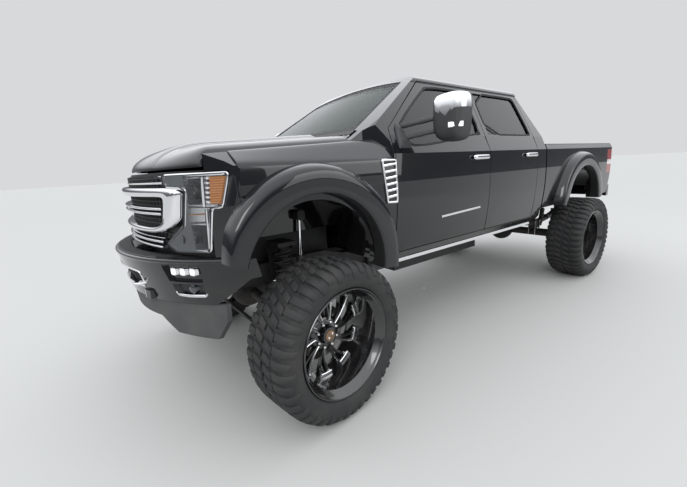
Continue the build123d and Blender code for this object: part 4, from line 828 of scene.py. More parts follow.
lamps = Piece("headlamps_dressed")
for z0, z1, left, right, near, far, rows, kind in (
        (1150, 1574, 2, -2, 46, 58, 60, 0),
        (1410, 1546, (752, 764), (836, 842), 30, 44, 12, 1),
        (1178, 1296, (640, 716), (806, 816), 30, 44, 12, 1),
        (1312, 1402, (728, 752), (852, 858), 26, 44, 12, 2),
        (1412, 1556, (872, 884), (912, 944), 14, 48, 14, 4)):
    lamps.sheet(*(lamp_sheet(z0, z1, left, right, depth, rows) for depth in (near, far)), kind=kind)
edge = np.vstack([LEFT_EDGE[:, ::-1] + (4, 0), RIGHT_EDGE[::-1, ::-1] - (4, 0)])
edge = evenly(edge, 150, True)
wall, inside = (np.stack([on_nose(*line.T, depth) for depth in (0, 57)])
                for line in (edge, drawn_in(edge, (0.02, 0.012))))
lamps.sheet(wall, inside, kind=1)
rim = drawn_in(cut_corners(edge, 1)[::2], (0.05, 0.03))
lamps.tube(on_nose(*rim.T, 12), squircle(26, 15, 3, 12), 0, up=(0, 1, 0), closed=True)
for start, end, width, tall, depth in (
        ((846, 1556), (838, 1400), 40, 34, 24), ((850, 1386), (838, 1170), 26, 26, 20),
        ((735, 1306), (862, 1304), 24, 16, 16), ((765, 1408), (905, 1404), 24, 16, 16),
        ((668, 1548), (835, 1556), 26, 26, 22)):
    lamp_bar(evenly([start, end], 12), width, tall, depth)
for x, z, radius in ((800, 1478, 33), (770, 1238, 35), (700, 1222, 24)):
    bowl = [(44, radius + 11), (14, radius + 9), (12, radius + 5), (16, radius + 2), (30, radius),
            (40, radius - 2)]
    dome = [(40, radius - 1), (24, radius - 1), (16, radius * 0.8), (11, radius * 0.5), (9, 0.01)]
    for profile, kind in ((bowl, 1), (dome, 3)):
        lamps.grid(turned(profile, 40)[..., [1, 0, 2]] + on_nose(x, z), kind=kind, round_u=True)
for z in np.linspace(1424, 1548, 6):
    x = 868 + (z - 1412) / 144 * 12
    lamp_bar([(x - 5, z), (x + 5, z)], 12, 13, 10, 5)
lamp_bar(evenly([(738, 1356), (848, 1360)], 8), 5, 5, 14, 4)
both_sides(lamps).build("chassis", [chrome, black_plastic, reflector, lens, amber, led], "lamp_body",
                        ["headlamps"], sharp=40)
cover = Piece("headlamp_covers")
cover.sheet(*(lamp_sheet(1151, 1573, 3, -3, depth, 60) for depth in (-1, 2)))
both_sides(cover).build("chassis", [lamp_cover], "lamp_body", sharp=60)

# %% [markdown]
# ## Front bumper
# The bumper is painted. On it sit a ribbed step pad, three small lamps in each upper recess, a fog lamp
# under them with a bright lower lip, two bright tow hooks and a bead round the centre opening.

# %% Bumper trim
def step_ribs(x):
    """Rounded ribs across the step: a rise of 4 mm that repeats every 26 mm of its width."""
    return 4 * (0.5 - 0.5 * np.cos(2 * np.pi * x / 26)) ** 0.5


trim = Piece("front_bumper_trim")
x = np.linspace(-560, 560, 345)
pad_section = np.array([(14, 1100, 0), (14, 1113, 0), (20, 1116, 1), (70, 1116, 1), (74, 1113, 0),
                        (74, 1100, 0)])
depth, height, ribbed = pad_section.T[..., None]
pad = [x + 0 * depth, BUMPER_CENTRE + bow(x, 990, 520) + depth, height + ribbed * step_ribs(x)]
pad = np.stack(pad, -1)
trim.grid(pad, kind=1).grid(pad[[0, -1]], kind=1)
lamp_row = Piece("lamp_row")
for x in (654, 706, 758):
    spot = on_bumper(x, 1036, 4)
    for shape, near, kind in ((squircle(46, 44, 5, 20), 4, 0), (squircle(36, 34, 4, 20), 2, 3)):
        ring = [np.stack([shape[:, 0], 0.42 * shape[:, 0] + d, shape[:, 1]], -1) for d in (near, near + 20)]
        lamp_row.grid(np.stack(ring) + spot, kind=kind, round_v=True, ends=True)
fog = cut_corners([(632, 892), (785, 892), (795, 958), (624, 958)], 2)
lamp_row.grid(np.stack([on_bumper(*fog.T, d) for d in (30, 46)]), kind=1, round_v=True, ends=True)
dome = turned([(28, 30), (6, 30), (1, 22), (-2, 10), (-3, 0.01)], 32)[..., [1, 0, 2]]
dome[..., 1] += 0.45 * dome[..., 0]
lamp_row.grid(dome + on_bumper(708, 925, 14), kind=4, round_u=True)
lip = evenly([(622, 905), (634, 888), (700, 884), (784, 888), (796, 905)], 24)
lamp_row.tube(on_bumper(*lip.T, 4), squircle(16, 9, 3, 10), 0, up=(0, 1, 0))
y = on_bumper(348, 938)[1]
hook = [(322, y + 40, 936), (322, y - 24, 934), (345, y - 44, 933), (374, y - 20, 934), (378, y + 46, 936)]
lamp_row.tube(curve_through(hook, 30), squircle(22, 18, 3, 12), 0)
trim.join(both_sides(lamp_row))
bead = [(-350, 902), (350, 902), (366, 918), (366, 998), (350, 1014), (-350, 1014), (-366, 998), (-366, 918)]
bead = evenly(cut_corners(bead, 2), 160, True)
trim.tube(on_bumper(*bead.T), squircle(12, 9, 3, 10), 0, up=(0, 1, 0), closed=True)
x = np.linspace(-352, 352, 41)
z = np.array([908, 1008])[:, None]
trim.sheet(on_bumper(x, z, 40), on_bumper(x, z, 46), kind=1)
for z in (928, 948, 968, 988):
    trim.grid(sweep(on_bumper(x, z, 34), squircle(10, 6, 3, 8)), kind=1, round_v=True, ends=True)
trim.build("chassis", [chrome, black_plastic, reflector, led, lens], "bright_trim", sharp=40)

# %% [markdown]
# ## Hood
# The hood is the panel that mirrors most of the sky, so its crown has to be one smooth surface. It is a rear
# section that sinks towards the front and rounds down to the lip: over the last stretch the height is scaled
# by a quarter ellipse of the distance from the lip, longer in the middle than at the corners.

# %% Hood panel and its hinge arms
HOOD_SECTION = [(0, 1848), (230, 1847), (385, 1842), (440, 1829), (482, 1818), (680, 1804), (790, 1790),
                (842, 1771), (865, 1750), (870, 1742)]


def hood_skin():
    """z = lip + (section + 0.06 * (y - 640) - lip) * sqrt(1 - (1 - d) ** 2.2), d the way from the lip."""
    half = curve_through(HOOD_SECTION, 61)
    x, top = np.vstack([half[:0:-1] * (-1, 1), half]).T[:, None]
    front = -783 + bow(x, 870, 193)
    rear = 387 + bow(x, 870, 14)
    y = front + (rear - front) * (np.linspace(0, 1, 90) ** 1.6)[:, None]
    d = np.clip((y - front) / (60 + 370 * (1 - (x / 870) ** 2)), 0, 1)
    z = 1607 + (top + 0.06 * (y - 640) - 1607) * np.sqrt(1 - (1 - d) ** 2.2)
    return np.stack([x + 0 * y, y, z], -1)


skin = hood_skin()
under = skin * (0.995, 1, 1)
under[..., 2] = np.maximum(under[..., 2] - 26, 1609)
under[..., 1] += np.interp(np.arange(90), [0, 30], [24, 0])[:, None]
hood = Piece("hood_dressed").sheet(skin, under)
for x in (-814, 814):
    hood.tube([(x, 350, 1742), (x, 430, 1752), (x, 502, 1755)], squircle(10, 20), 1)
hood.build("hood", [paint, black_plastic], "paint", ["hood"], sharp=50)

# %% [markdown]
# ## Fender skins
# A thin smooth skin lies over each front fender's shoulder: the section runs from the hood's edge over a
# round crease and down the side. In front, a corner strip leads round from the headlamp to the side.

# %% Fender skins
y = np.linspace(-440, 690, 90)
edge_z = 1746 + (y - 640) * 0.06
section_x = np.array([875, 884, 915, 990, 1008, 1013, 1015, 1015], float)
section_z = np.broadcast_arrays(edge_z - 1, edge_z + 3, edge_z - 12, edge_z * 0.08 + 1620 * 0.92,
                                1600.0, 1565.0, 1500.0, 1440.0)
section_z = np.stack(section_z, -1)
rows = [curve_through(np.stack([section_x, line], -1), 36) for line in section_z]
skin = np.stack([np.insert(row, 1, station, 1) for row, station in zip(rows, y)])
fenders = Piece("fender_skins").sheet(skin, skin - (6, 0, 6))
z = np.linspace(1402, 1590, 20)[:, None]
u = np.linspace(0, 1, 14)[None]
start_x = np.interp(z, RIGHT_EDGE[:, 0], RIGHT_EDGE[:, 1]) + 4
start_y = NOSE_CENTRE + bow(start_x, 961, 415) + 2
corner_x = start_x + (1014 - start_x) * np.sin(u * np.pi / 2) ** 0.9
corner_y = start_y + (-425 - start_y) * (1 - np.cos(u * np.pi / 2))
corner = np.stack([corner_x, corner_y, z + 0 * u], -1)
fenders.sheet(corner, corner + (-8, 8, 0))
both_sides(fenders).build("chassis", [paint], "paint", sharp=50)

# %% [markdown]
# ## Windscreen surround
# The glass has a printed black border that breaks into dots at the top, a ribbed cowl panel under it and two
# wipers that rest on it.

# %% Border, dots, cowl and wipers
SCREEN = [(790, 1818), (646, 2226), (340, 2256), (0, 2266), (-340, 2256), (-646, 2226), (-790, 1818),
          (0, 1818)]
edge = evenly(SCREEN, 240, True)
middle = np.array([0, 2035])
inner = middle + (edge - middle) * (0.945, 0.88)
ring = [on_screen(*line.T, proud) for line, proud in ((edge, 1.2), (inner, 1.2), (inner, -0.5), (edge, -0.5))]
ring = np.stack(ring, 1)
screen = Piece("windscreen_border").grid(ring, kind=0, round_u=True, round_v=True)
for row in range(3):
    for x in np.linspace(-600, 600, 61 - row):
        z = np.interp(abs(x), [0, 340, 646], [2266, 2256, 2226]) - 36 - row * 13
        dot = squircle(7 - row * 1.6, 5 - row, 2, 6)
        rim = np.stack([on_screen(x + dot[:, 0], z + dot[:, 1], proud) for proud in (-0.4, 1.1)])
        screen.grid(rim, kind=0, round_v=True, ends=True)
x = np.linspace(-800, 800, 161)[None]
z = np.linspace(1789, 1817, 8)[:, None]
screen.sheet(on_screen(x, z, 9 + 2 * np.cos(x * 0.157)), on_screen(x, z, 4), kind=1)
for pivot, tip in ((300, -330), (-330, -860)):
    arm = [(pivot, 1806, 14), (pivot - 40, 1822, 20), ((pivot + tip) / 2 + 40, 1848, 22)]
    screen.tube([on_screen(*p) for p in curve_through(arm, 16)], squircle(16, 9, 3, 10), 1, up=(0, -1, 0.6))
    blade = [(pivot - 60, 1836, 12), ((pivot + tip) / 2, 1846, 12), (max(tip, -740), 1850, 12)]
    screen.tube([on_screen(*p) for p in curve_through(blade, 24)], squircle(12, 16, 3, 10), 1, up=(0, -1, 0.6))
    hub = turned([(-12, 16), (10, 15), (13, 9), (13, 0.01)], 20)[..., [1, 2, 0]]
    screen.grid(hub + on_screen(pivot, 1805, 12), kind=1, round_u=True)
screen.build("chassis", [seal_rubber, black_plastic], "grey_plastic", sharp=40)

# %% [markdown]
# ## Mirrors
# The tow mirror's head is a rounded shell: its outline shrinks towards the front along a quarter round. The
# upper part is a bright cap, and the glass is parted into a flat pane and a small wide one.

# %% Tow mirrors
HEAD = [(1110, 1706), (1300, 1698), (1340, 1745), (1350, 1940), (1336, 2008), (1290, 2028), (1160, 2028),
        (1112, 2008), (1106, 1950)]
BULGE = [(1102, 0.93), (1101, 0.99), (1090, 1.0), (1040, 0.995), (1005, 0.975), (978, 0.92), (964, 0.83),
         (958, 0.68), (957, 0.4), (957, 0.02)]


def rounded_pad(z_edges, proud, rows=14, columns=14):
    """Pad on the body side between two edges (z, y, y): its height falls to nothing along its rim."""
    table = np.array(z_edges, float)
    z = np.linspace(table[0, 0], table[-1, 0], rows)[:, None]
    u = np.linspace(0, 1, columns)[None]
    y0, y1 = (np.interp(z, table[:, 0], table[:, k]) for k in (1, 2))
    v = np.linspace(0, 1, rows)[:, None]
    swell = np.minimum(1, 6 * u * (1 - u)) * np.minimum(1, 6 * v * (1 - v))
    y = y0 + (y1 - y0) * u
    return on_side(y, z + 0 * u, proud * np.sqrt(swell) + 1), on_side(y, z + 0 * u, -4)


outline = evenly(cut_corners(HEAD, 3), 96, True)
centre = np.array([1232, 1868])
shell = np.stack([np.insert(centre + (outline - centre) * scale, 1, y, 1) for y, scale in BULGE])
lit = (shell[:-1, :, 2] > 1912) & (np.arange(9)[:, None] > 1)
mirror = Piece("mirror_dressed_left").grid(shell, kind=lit.astype(int), round_v=True, ends=False)
for end in (shell[-1], shell[0]):
    mirror.grid(np.stack([end, np.broadcast_to(end.mean(0), end.shape)]), round_v=True)
for low, high in ((1722, 1806), (1816, 2006)):
    pane_edge = [(1130, low), (1318, low), (1328, high - 8), (1318, high), (1136, high), (1128, high - 8)]
    pane_edge = evenly(cut_corners(pane_edge, 2), 48, True)
    pane_grid = np.stack([np.insert(pane_edge, 1, y, 1) for y in (1096, 1104)])
    mirror.grid(pane_grid, kind=2, round_v=True, ends=True)
signal = curve_through([(1262, 955, 1806), (1310, 968, 1806), (1346, 1000, 1806)], 14)
mirror.tube(signal, squircle(14, 34, 4, 12), 3, up=(0, 0, 1))
for arm, size in (([(905, 835, 1736), (1000, 905, 1760), (1135, 1010, 1786)], (40, 32)),
                  ([(885, 830, 1828), (1000, 905, 1848), (1135, 1008, 1874)], (46, 34))):
    mirror.tube(curve_through(arm, 20), squircle(*size, 3, 16), 0)
# The foot is partly the mirror's real base, where both arms root, and partly painted reflection: its charcoal pad
# reaches forward over the dark reflection of the mirror in the glossy paint.
FOOT_AND_PAINTED_REFLECTION = [(1676, 764, 896), (1700, 764, 892), (1762, 770, 872), (1832, 784, 840), (1860, 806, 828)]
mirror.sheet(*rounded_pad(FOOT_AND_PAINTED_REFLECTION, 24))
for side, piece in (("left", mirror), ("right", mirror.flipped("mirror_dressed_right"))):
    piece.build(f"door_front_{side}", [charcoal, chrome, mirror_glass, led],
                "grey_plastic", [f"mirror_{side}"], sharp=45)

# %% [markdown]
# ## Doors
# Each door gets a rubber seal round its glass, a bright pull handle over a dark cup and, in front, a thin
# bright strip along its foot.

# %% Seals, handles and strips
FRONT_GLASS = [(862, 1693), (1132, 1701), (1532, 1757), (1752, 1787), (1866, 1787), (1844, 2150),
               (1811, 2180), (1352, 2180), (1252, 2138), (872, 1875), (844, 1820)]
REAR_GLASS = [(1992, 1787), (2780, 1787), (2806, 1800), (2748, 2125), (2730, 2165), (2680, 2180),
              (1992, 2180)]
for name, outline, grip, strip in (("front", FRONT_GLASS, 1764, True), ("rear", REAR_GLASS, 2697, False)):
    line = evenly(cut_corners(outline, 1), 200, True)
    trim = Piece(f"door_trim_{name}_left")
    trim.tube(on_side(line[:, 0], line[:, 1], 0), squircle(20, 9, 3, 10), 0, up=(1, 0, 0), closed=True)
    y = np.linspace(grip - 118, grip + 118, 41)
    bulge = 14 + 12 * np.clip(np.sin((y - grip + 118) / 236 * np.pi), 0, 1) ** 0.35
    size = np.interp(abs(y - grip), [0, 90, 112, 118], [1, 1, 0.85, 0.55])
    trim.tube(on_side(y, 1588, bulge), squircle(22, 40, 3, 18), 1, scale=size)
    cup = [(1560, grip - 60, grip + 60), (1588, grip - 96, grip + 96), (1616, grip - 60, grip + 60)]
    trim.sheet(*rounded_pad(cup, 2))
    if strip:
        y = np.linspace(1234, 1791, 41)
        trim.tube(on_side(y, 1124 + (y - 1234) * 0.034, 2), squircle(8, 17, 4, 12), 1)
    for side, piece in (("left", trim), ("right", trim.flipped(f"door_trim_{name}_right"))):
        piece.build(f"door_{name}_{side}", [seal_rubber, chrome], "grey_plastic", sharp=45)

# %% [markdown]
# ## Fender vents
# A bright frame round a dark recess with six slanting blades. Its edges are two straight lines in side view.

# %% Fender vents
def vent_edges(z):
    """Front and rear edge of the vent at a height."""
    return np.interp(z, [1306, 1598], [606, 566]), np.interp(z, [1306, 1598], [699, 694])


z = np.linspace(1312, 1594, 12)
front, rear = vent_edges(z)
vents = Piece("fender_vents_dressed")
columns = np.linspace(0, 1, 6)[None]
y = front[:, None] + (rear - front)[:, None] * columns
vents.sheet(on_side(y, z[:, None], 5), on_side(y, z[:, None], -6), kind=1)
frame_line = evenly([(606, 1308), (699, 1302), (694, 1598), (566, 1598)], 120, True)
frame_line = cut_corners(frame_line, 1)[::2]
vents.tube(on_side(*frame_line.T, 7), squircle(17, 18, 3, 12), 0, up=(1, 0, 0), closed=True)
for z in np.linspace(1342, 1560, 6):
    front, rear = vent_edges(z)
    y = np.linspace(front + 4, rear - 4, 8)
    vents.tube(on_side(y, z + (y - front) * 0.1, 9), squircle(16, 19, 4, 10), 0)
both_sides(vents).build("chassis", [chrome, black_plastic], "bright_trim", ["fender_vents"],
                        sharp=40)

# %% [markdown]
# ## Bumper steps, bed and tailgate
# Ribbed pads lie on both bumpers, caps cover the bed's rails, and the tailgate has a dark top edge, a handle
# and a plate lamp below it.

# %% Step pads, rounded bumper lip, rail caps, tailgate
step = Piece("bumper_step_dressed")
x = np.linspace(-955, 955, 161)
step.tube(on_bumper(x, 1099, 9), squircle(26, 26, 2, 16), 0)
x = np.linspace(-640, 640, 121)[None]
depth = np.linspace(20, 96, 5)[:, None]
pad_top = on_bumper(x, 1100, depth)
pad_top[..., 2] = 1117
step.sheet(pad_top, pad_top - (0, 0, 12), kind=1)
for x in np.arange(-620, 621, 20):
    y0, y1 = (on_bumper(x, 1100, d)[1] for d in (24, 92))
    step.tube([(x, y0, 1118), (x, y1, 1118)], squircle(9, 8, 3, 8), 1)
step.build("chassis", [paint, black_plastic], "paint", sharp=40)

bed = Piece("bed_caps")
cap = np.array([(-84, -22), (-84, 3), (-78, 7), (76, 7), (84, 2), (86, -10), (78, -10), (70, -1), (-76, -1),
                (-76, -22)], float)
for sign in (-1, 1):
    bed.tube([(sign * 895, y, 1692) for y in (3092, 3600, 4200, 4800, 5184)], cap * (sign, 1), 0)
    for y in (3300, 4140, 4980):
        bed.tube([(sign * 895, y - 45, 1700), (sign * 895, y + 45, 1700)], squircle(52, 6, 4, 12), 1)
bed.build("chassis", [black_plastic, seal_rubber], "grey_plastic", sharp=40)

gate = Piece("tailgate_dressed")
gate.tube([(x, 5163, 1694) for x in np.linspace(-798, 798, 9)], squircle(78, 16, 4, 16), 0, up=(0, 0, 1))
handle = [(-92, 5176, 1576), (-60, 5183, 1580), (60, 5183, 1580), (92, 5176, 1576)]
gate.tube(curve_through(handle, 20), squircle(26, 44, 3, 16), 0, up=(0, 0, 1))
frame_line = evenly(cut_corners([(-640, 1300), (640, 1300), (640, 1500), (-640, 1500)], 2), 160, True)
gate.tube(np.insert(frame_line, 1, 5188, 1), squircle(16, 8, 3, 10), 1, up=(0, 1, 0), closed=True)
gate.build("tailgate", [black_plastic, paint], "grey_plastic", sharp=40)

rear_step = Piece("rear_step_dressed")
for x0, x1, last, count in ((-930, -420, 5282, 5), (-380, 380, 5330, 9), (420, 930, 5282, 5)):
    for y in np.linspace(5222, last, count):
        rear_step.tube([(x0, y, 1097), (x1, y, 1097)], squircle(8, 7, 3, 8), 0)
for x in (-215, 215):
    rear_step.tube([(x, 5356, 1060), (x, 5374, 1060)], squircle(34, 20, 3, 12), 1)
rear_step.tube([(-230, 5372, 962), (230, 5372, 962)], squircle(10, 8, 3, 8), 0)
rear_step.build("chassis", [black_plastic, led], "grey_plastic", sharp=40)
print("bumpers, bed and tailgate")

# %% [markdown]
# ## Seats
# The seats are padded, so their covers are blown up like real ones: a slightly small closed form is remeshed
# evenly, Blender's cloth swells it for 20 frames under pressure, and no point may move farther than a cap.
# The sewn channels are pressed in afterwards, where a seam's depth falls off like a bell curve.

# %% Padded covers
def cushion(centre, half, lean=0.0, count=(28, 40), power=0.32):
    """Box with full round edges: powers of sines and cosines with their signs, then leaned back."""
    a = np.linspace(-np.pi / 2, np.pi / 2, count[0])[:, None]
    b = np.linspace(0, 2 * np.pi, count[1], endpoint=False)[None]

    def soft(v):
        return np.sign(v) * np.abs(v) ** power

    x = half[0] * soft(np.cos(a)) * soft(np.cos(b))
    z = half[2] * soft(np.cos(a)) * soft(np.sin(b))
    y = half[1] * soft(np.sin(a)) + 0 * b
    y, z = y * math.cos(lean) + z * math.sin(lean), z * math.cos(lean) - y * math.sin(lean)
    return np.stack([x, y, z], -1) + centre


def mesh_arrays(mesh):
    """A mesh's points as an array and its faces as lists."""
    points = np.empty(len(mesh.vertices) * 3)
    mesh.vertices.foreach_get("co", points)
    return points.reshape(-1, 3), [list(face.vertices) for face in mesh.polygons]


def settled(shape):
    """A mesh of the object as its modifiers leave it."""
    graph = bpy.context.evaluated_depsgraph_get()
    return bpy.data.meshes.new_from_object(shape.evaluated_get(graph))


def inflated(name, forms, voxel, cap):
    """Forms remeshed to one even skin and swelled by cloth pressure, no point moving past the cap."""
    rough = Piece(name)
    for form in forms:
        rough.grid(form, round_v=True)
    shape = added(name, rough.mesh(2e-4))
    remesh = shape.modifiers.new("even", "REMESH")
    remesh.mode, remesh.voxel_size = "VOXEL", voxel / 1000
    mesh = settled(shape)
    shape.modifiers.clear()
    shape.data = mesh
    start, faces = mesh_arrays(mesh)
    cloth = shape.modifiers.new("padding", "CLOTH")
    cloth.settings.quality = 4
    cloth.settings.use_pressure = True
    cloth.settings.uniform_pressure_force = 4
    cloth.settings.effector_weights.gravity = 0
    cloth.collision_settings.use_collision = False
    for frame_number in range(1, 21):
        bpy.context.scene.frame_set(frame_number)
    swollen, _ = mesh_arrays(settled(shape))
    move = swollen - start
    length = np.linalg.norm(move, axis=1, keepdims=True)
    start = start + move * np.minimum(1, cap / 1000 / np.maximum(length, 1e-9))
    bpy.context.scene.frame_set(1)
    bpy.data.objects.remove(shape)
    return start, faces


def sewn(name, points, faces, grooves, mirror=False):
    """Presses grooves in along the normals, adds the mirror image where asked, and finishes the piece."""
    mesh = bpy.data.meshes.new(name)
    mesh.from_pydata(points.tolist(), [], faces)
    normals = np.empty(len(points) * 3)
    mesh.vertices.foreach_get("normal", normals)
    points = points - normals.reshape(-1, 3) * grooves(points)[:, None]
    if mirror:
        count = len(points)
        points = np.vstack([points, points * (-1, 1, 1)])
        faces = faces + [[v + count for v in reversed(face)] for face in faces]
    mesh = bpy.data.meshes.new(name)
    mesh.from_pydata(points.tolist(), [], faces)
    mesh.polygons.foreach_set("use_smooth", np.ones(len(mesh.polygons), bool))
    mesh.materials.append(leather.material)
    piece = added(name, mesh)
    smooth = piece.modifiers.new("smooth", "SUBSURF")
    smooth.levels = smooth.render_levels = 1
    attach(piece, "chassis")
    print("padded", name, len(mesh.polygons))
    return piece


def bell(distance, width):
    """Bell curve of a distance."""
    return np.exp(-(distance / width) ** 2)


SEAT_X = 430
LEAN = math.radians(12.8)


def channels(distance):
    """Grooves 4 mm deep that repeat every 95 mm."""
    return 0.004 * bell((distance * 1000 % 95 - 47) / 1000, 0.011)


def front_seams(p):
    """Two long seams 150 mm from the seat's middle, and channels between them up to the head restraint."""
    across = abs(p[:, 0] - SEAT_X / 1000)
    between, upright = across < 0.15, p[:, 2] > 1.33
    back, base = between * upright * (p[:, 2] < 1.86), between * (p[:, 2] < 1.33)
    return 0.006 * bell(across - 0.15, 0.012) + channels(p[:, 2]) * back + channels(p[:, 1] + 3) * base


def rear_seams(p):
    """Seams between the three places, and two long ones in each outer place."""
    across = abs(p[:, 0])
    return 0.009 * bell(across - 0.23, 0.014) + 0.005 * bell(abs(across - 0.46) - 0.12, 0.012)


points, faces = inflated("front_seat", [cushion((SEAT_X, 1565, 1243), (252, 215, 62)),
                                        cushion((SEAT_X, 1905, 1572), (248, 52, 300), LEAN),
                                        cushion((SEAT_X, 1984, 1976), (118, 28, 68), LEAN, (20, 32))], 13, 22)
sewn("front_seats_padded", points, faces, front_seams, mirror=True)
points, faces = inflated("rear_seat_form", [cushion((0, 2425, 1243), (690, 215, 62), 0, (24, 64), 0.25),
                                            cushion((0, 2752, 1528), (686, 50, 252), LEAN, (20, 64), 0.25)],
                         14, 22)
sewn("rear_seat_padded", points, faces, rear_seams)
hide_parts("front_seats")
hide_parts("rear_seat")

floor_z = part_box("front_seats")[0][2] * 1000
bases = Piece("seat_bases")
for sign in (-1, 1):
    column = [(sign * SEAT_X, 1580, z) for z in (floor_z + 1, floor_z + 40, 1120, 1178)]
    bases.tube(column, squircle(420, 330, 5, 28), up=(0, 1, 0), scale=np.array([1, 0.86, 0.9, 1.08]))
    for x in (370, 490):
        bases.tube([(sign * x, 1962, 1850), (sign * x, 1975, 1925)], squircle(15, 15, 2, 12), 1, up=(0, 1, 0))
rear_column = [(0, 2430, z) for z in (floor_z + 1, floor_z + 40, 1120, 1178)]
bases.tube(rear_column, squircle(1330, 350, 8, 40), up=(0, 1, 0), scale=np.array([1, 0.97, 0.98, 1.0]))
bases.build("chassis", [trim_plastic, steel], "interior_plastic", sharp=40)

# %% [markdown]
# ## Springs and dampers
# Behind the wheels show the coils, bright damper rods and the leaf packs' clamps. A coil is one round wire
# along a helix.

# %% Springs and dampers
running = Piece("springs_and_dampers")
turn = np.linspace(0, 2 * np.pi * 7.5, 260)
coil = np.stack([66 * np.cos(turn) + 540, 66 * np.sin(turn), 566 + (1034 - 566) * turn / turn[-1]], -1)
running.tube(coil, squircle(17, 17, 2, 10), 0)


def damper(foot, head, split, radius):
    """Dark body from the foot to a share of the way, a bright rod beyond it and an eye at each end."""
    foot, head = np.array(foot, float), np.array(head, float)

    def way(*shares):
        return foot + (head - foot) * np.array(shares)[:, None]

    round_section = squircle(2, 2, 2, 20)
    running.tube(way(0.03, 0.05, split - 0.01, split), round_section * radius, 0, up=(0, 1, 0),
                 scale=np.array([0.8, 1, 1, 0.85]))
    running.tube(way(split - 0.02, 0.97), round_section * radius * 0.42, 1, up=(0, 1, 0))
    eye = turned([(-22, 12), (-22, 20), (-18, 23), (18, 23), (22, 20), (22, 12)], 24)
    for end in (foot, head):
        running.grid(eye + end, kind=0, round_u=True)


damper((610, 84, 585), (606, 120, 1250), 0.56, 31)
damper((505, 4190, 600), (455, 4420, 985), 0.55, 30)
running.tube([(572, 120, 1250), (640, 120, 1250)], squircle(60, 70, 4, 16), 0)
running.tube([(610, 84, 530), (610, 84, 590)], squircle(44, 54, 4, 16), 0, up=(0, 1, 0))
running.tube([(425, 4420, 985), (480, 4420, 985)], squircle(50, 60, 4, 16), 0)
for y in (4059 - 62, 4059 + 62):
    for x in (441, 529):
        running.tube([(x, y, 470), (x, y, 650), (x, y, 668)], squircle(15, 15, 2, 10), 2, up=(0, 1, 0),
                     scale=np.array([1, 1, 0.7]))
    running.tube([(436, y, 660), (534, y, 660)], squircle(26, 12, 4, 10), 2)
for y in (3400, 3700, 4400, 4700):
    low = 790 - 125 * (1 - (abs(y - 4059) / 800) ** 2) - 6
    running.tube([(440, y, low), (530, y, low)], squircle(30, 70, 5, 12), 0)
both_sides(running).build("chassis", [chassis, chrome, steel], "chassis_steel", sharp=40)

# %% [markdown]
# ## Studio
# A plain pale floor and a soft overcast sky: bright overhead and dimmer at the horizon, as the truck's
# black paint shows its shape only through what it mirrors. The camera stands where the photograph was
# taken, close to the left front corner, with a wide lens.

# %% Floor, sky and lights
floor_finish = Finish("studio_floor", Base_Color=(0.42, 0.42, 0.41), Roughness=0.75)
floor_finish.bump(floor_finish.noise(40, 4), 0.0008, 0.4)
rings = turned([(0, r) for r in (0.01, 6, 20, 60, 220)], 96)[..., [1, 2, 0]]
index = np.arange(rings[..., 0].size).reshape(96, 5)
index = np.vstack([index, index[:1]])
floor_faces = np.stack([index[:-1, :-1], index[:-1, 1:], index[1:, 1:], index[1:, :-1]], -1).reshape(-1, 4)
floor_mesh = bpy.data.meshes.new("floor")
floor_mesh.from_pydata(rings.reshape(-1, 3).tolist(), [], floor_faces.tolist())
floor_mesh.materials.append(floor_finish.material)
floor = added("floor", floor_mesh)

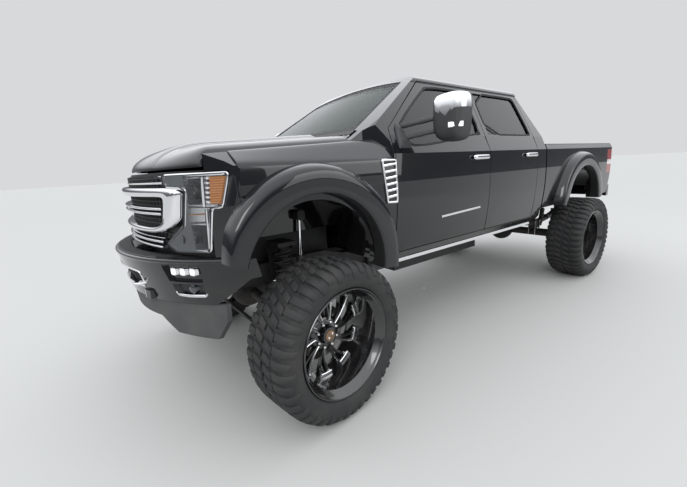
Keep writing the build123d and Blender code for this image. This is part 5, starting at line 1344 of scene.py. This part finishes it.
world = bpy.data.worlds.new("overcast")
bpy.context.scene.world = world
world.use_nodes = True
tree = world.node_tree
coordinates = tree.nodes.new("ShaderNodeTexCoord")
split = tree.nodes.new("ShaderNodeSeparateXYZ")
sky = tree.nodes.new("ShaderNodeValToRGB")
for height in (0.12, 0.24, 0.4):
    sky.color_ramp.elements.new(height)
SKY = ((0.02, (0.07, 0.075, 0.08)), (0.12, (0.1, 0.105, 0.11)), (0.24, (0.5, 0.515, 0.53)),
       (0.4, (0.8, 0.82, 0.84)), (0.8, (0.94, 0.97, 1.0)))
for step, (height, colour) in zip(sky.color_ramp.elements, SKY):
    step.position, step.color = height, (*colour, 1)
view = tree.nodes.new("ShaderNodeLightPath")
pick = tree.nodes.new("ShaderNodeMix")
pick.data_type = "RGBA"
pick.inputs[7].default_value = (0.36, 0.365, 0.37, 1)
tree.links.new(coordinates.outputs["Generated"], split.inputs[0])
tree.links.new(split.outputs["Z"], sky.inputs["Fac"])
tree.links.new(view.outputs["Is Camera Ray"], pick.inputs[0])
tree.links.new(sky.outputs["Color"], pick.inputs[6])
tree.links.new(pick.outputs[2], tree.nodes["Background"].inputs["Color"])
tree.nodes["Background"].inputs["Strength"].default_value = 1.9


def soft_light(name, where, at, size, power):
    """A square area lamp at a place, aimed at a point."""
    lamp = bpy.data.lights.new(name, "AREA")
    lamp.shape, lamp.size, lamp.energy = "SQUARE", size, power
    holder = added(name, lamp)
    holder.location = where
    aim = Vector(at) - Vector(where)
    holder.rotation_euler = aim.to_track_quat("-Z", "Y").to_euler()


soft_light("key", (7.0, -9.0, 7.5), (0.6, -1.8, 1.0), 5.0, 420)
soft_light("fill", (9.0, 4.0, 4.0), (0.8, 0.0, 1.0), 5.0, 160)

# %% Camera
STANDPOINT = (2.77011, -3.31623, 1.56324)
FOCAL_PIXELS = 345.68
PICTURE_WIDTH = 687
YAW, PITCH, ROLL = (math.radians(a) for a in (36.7523, -12.3648, -3.2188))
forward = np.array([-math.cos(YAW) * math.cos(PITCH), math.sin(YAW) * math.cos(PITCH), math.sin(PITCH)])
right = np.cross(forward, (0, 0, 1))
right /= np.linalg.norm(right)
up = np.cross(right, forward)
right, up = right * math.cos(ROLL) + up * math.sin(ROLL), up * math.cos(ROLL) - right * math.sin(ROLL)
camera = added("camera", bpy.data.cameras.new("camera"))
camera.data.sensor_width = 36
camera.data.lens = FOCAL_PIXELS / PICTURE_WIDTH * camera.data.sensor_width
camera.data.clip_end = 500
turn = np.eye(4)
turn[:3] = np.stack([right, up, -forward, STANDPOINT], -1)
camera.matrix_world = Matrix(turn.tolist())
bpy.context.scene.camera = camera
bpy.context.scene.view_settings.view_transform = "Standard"
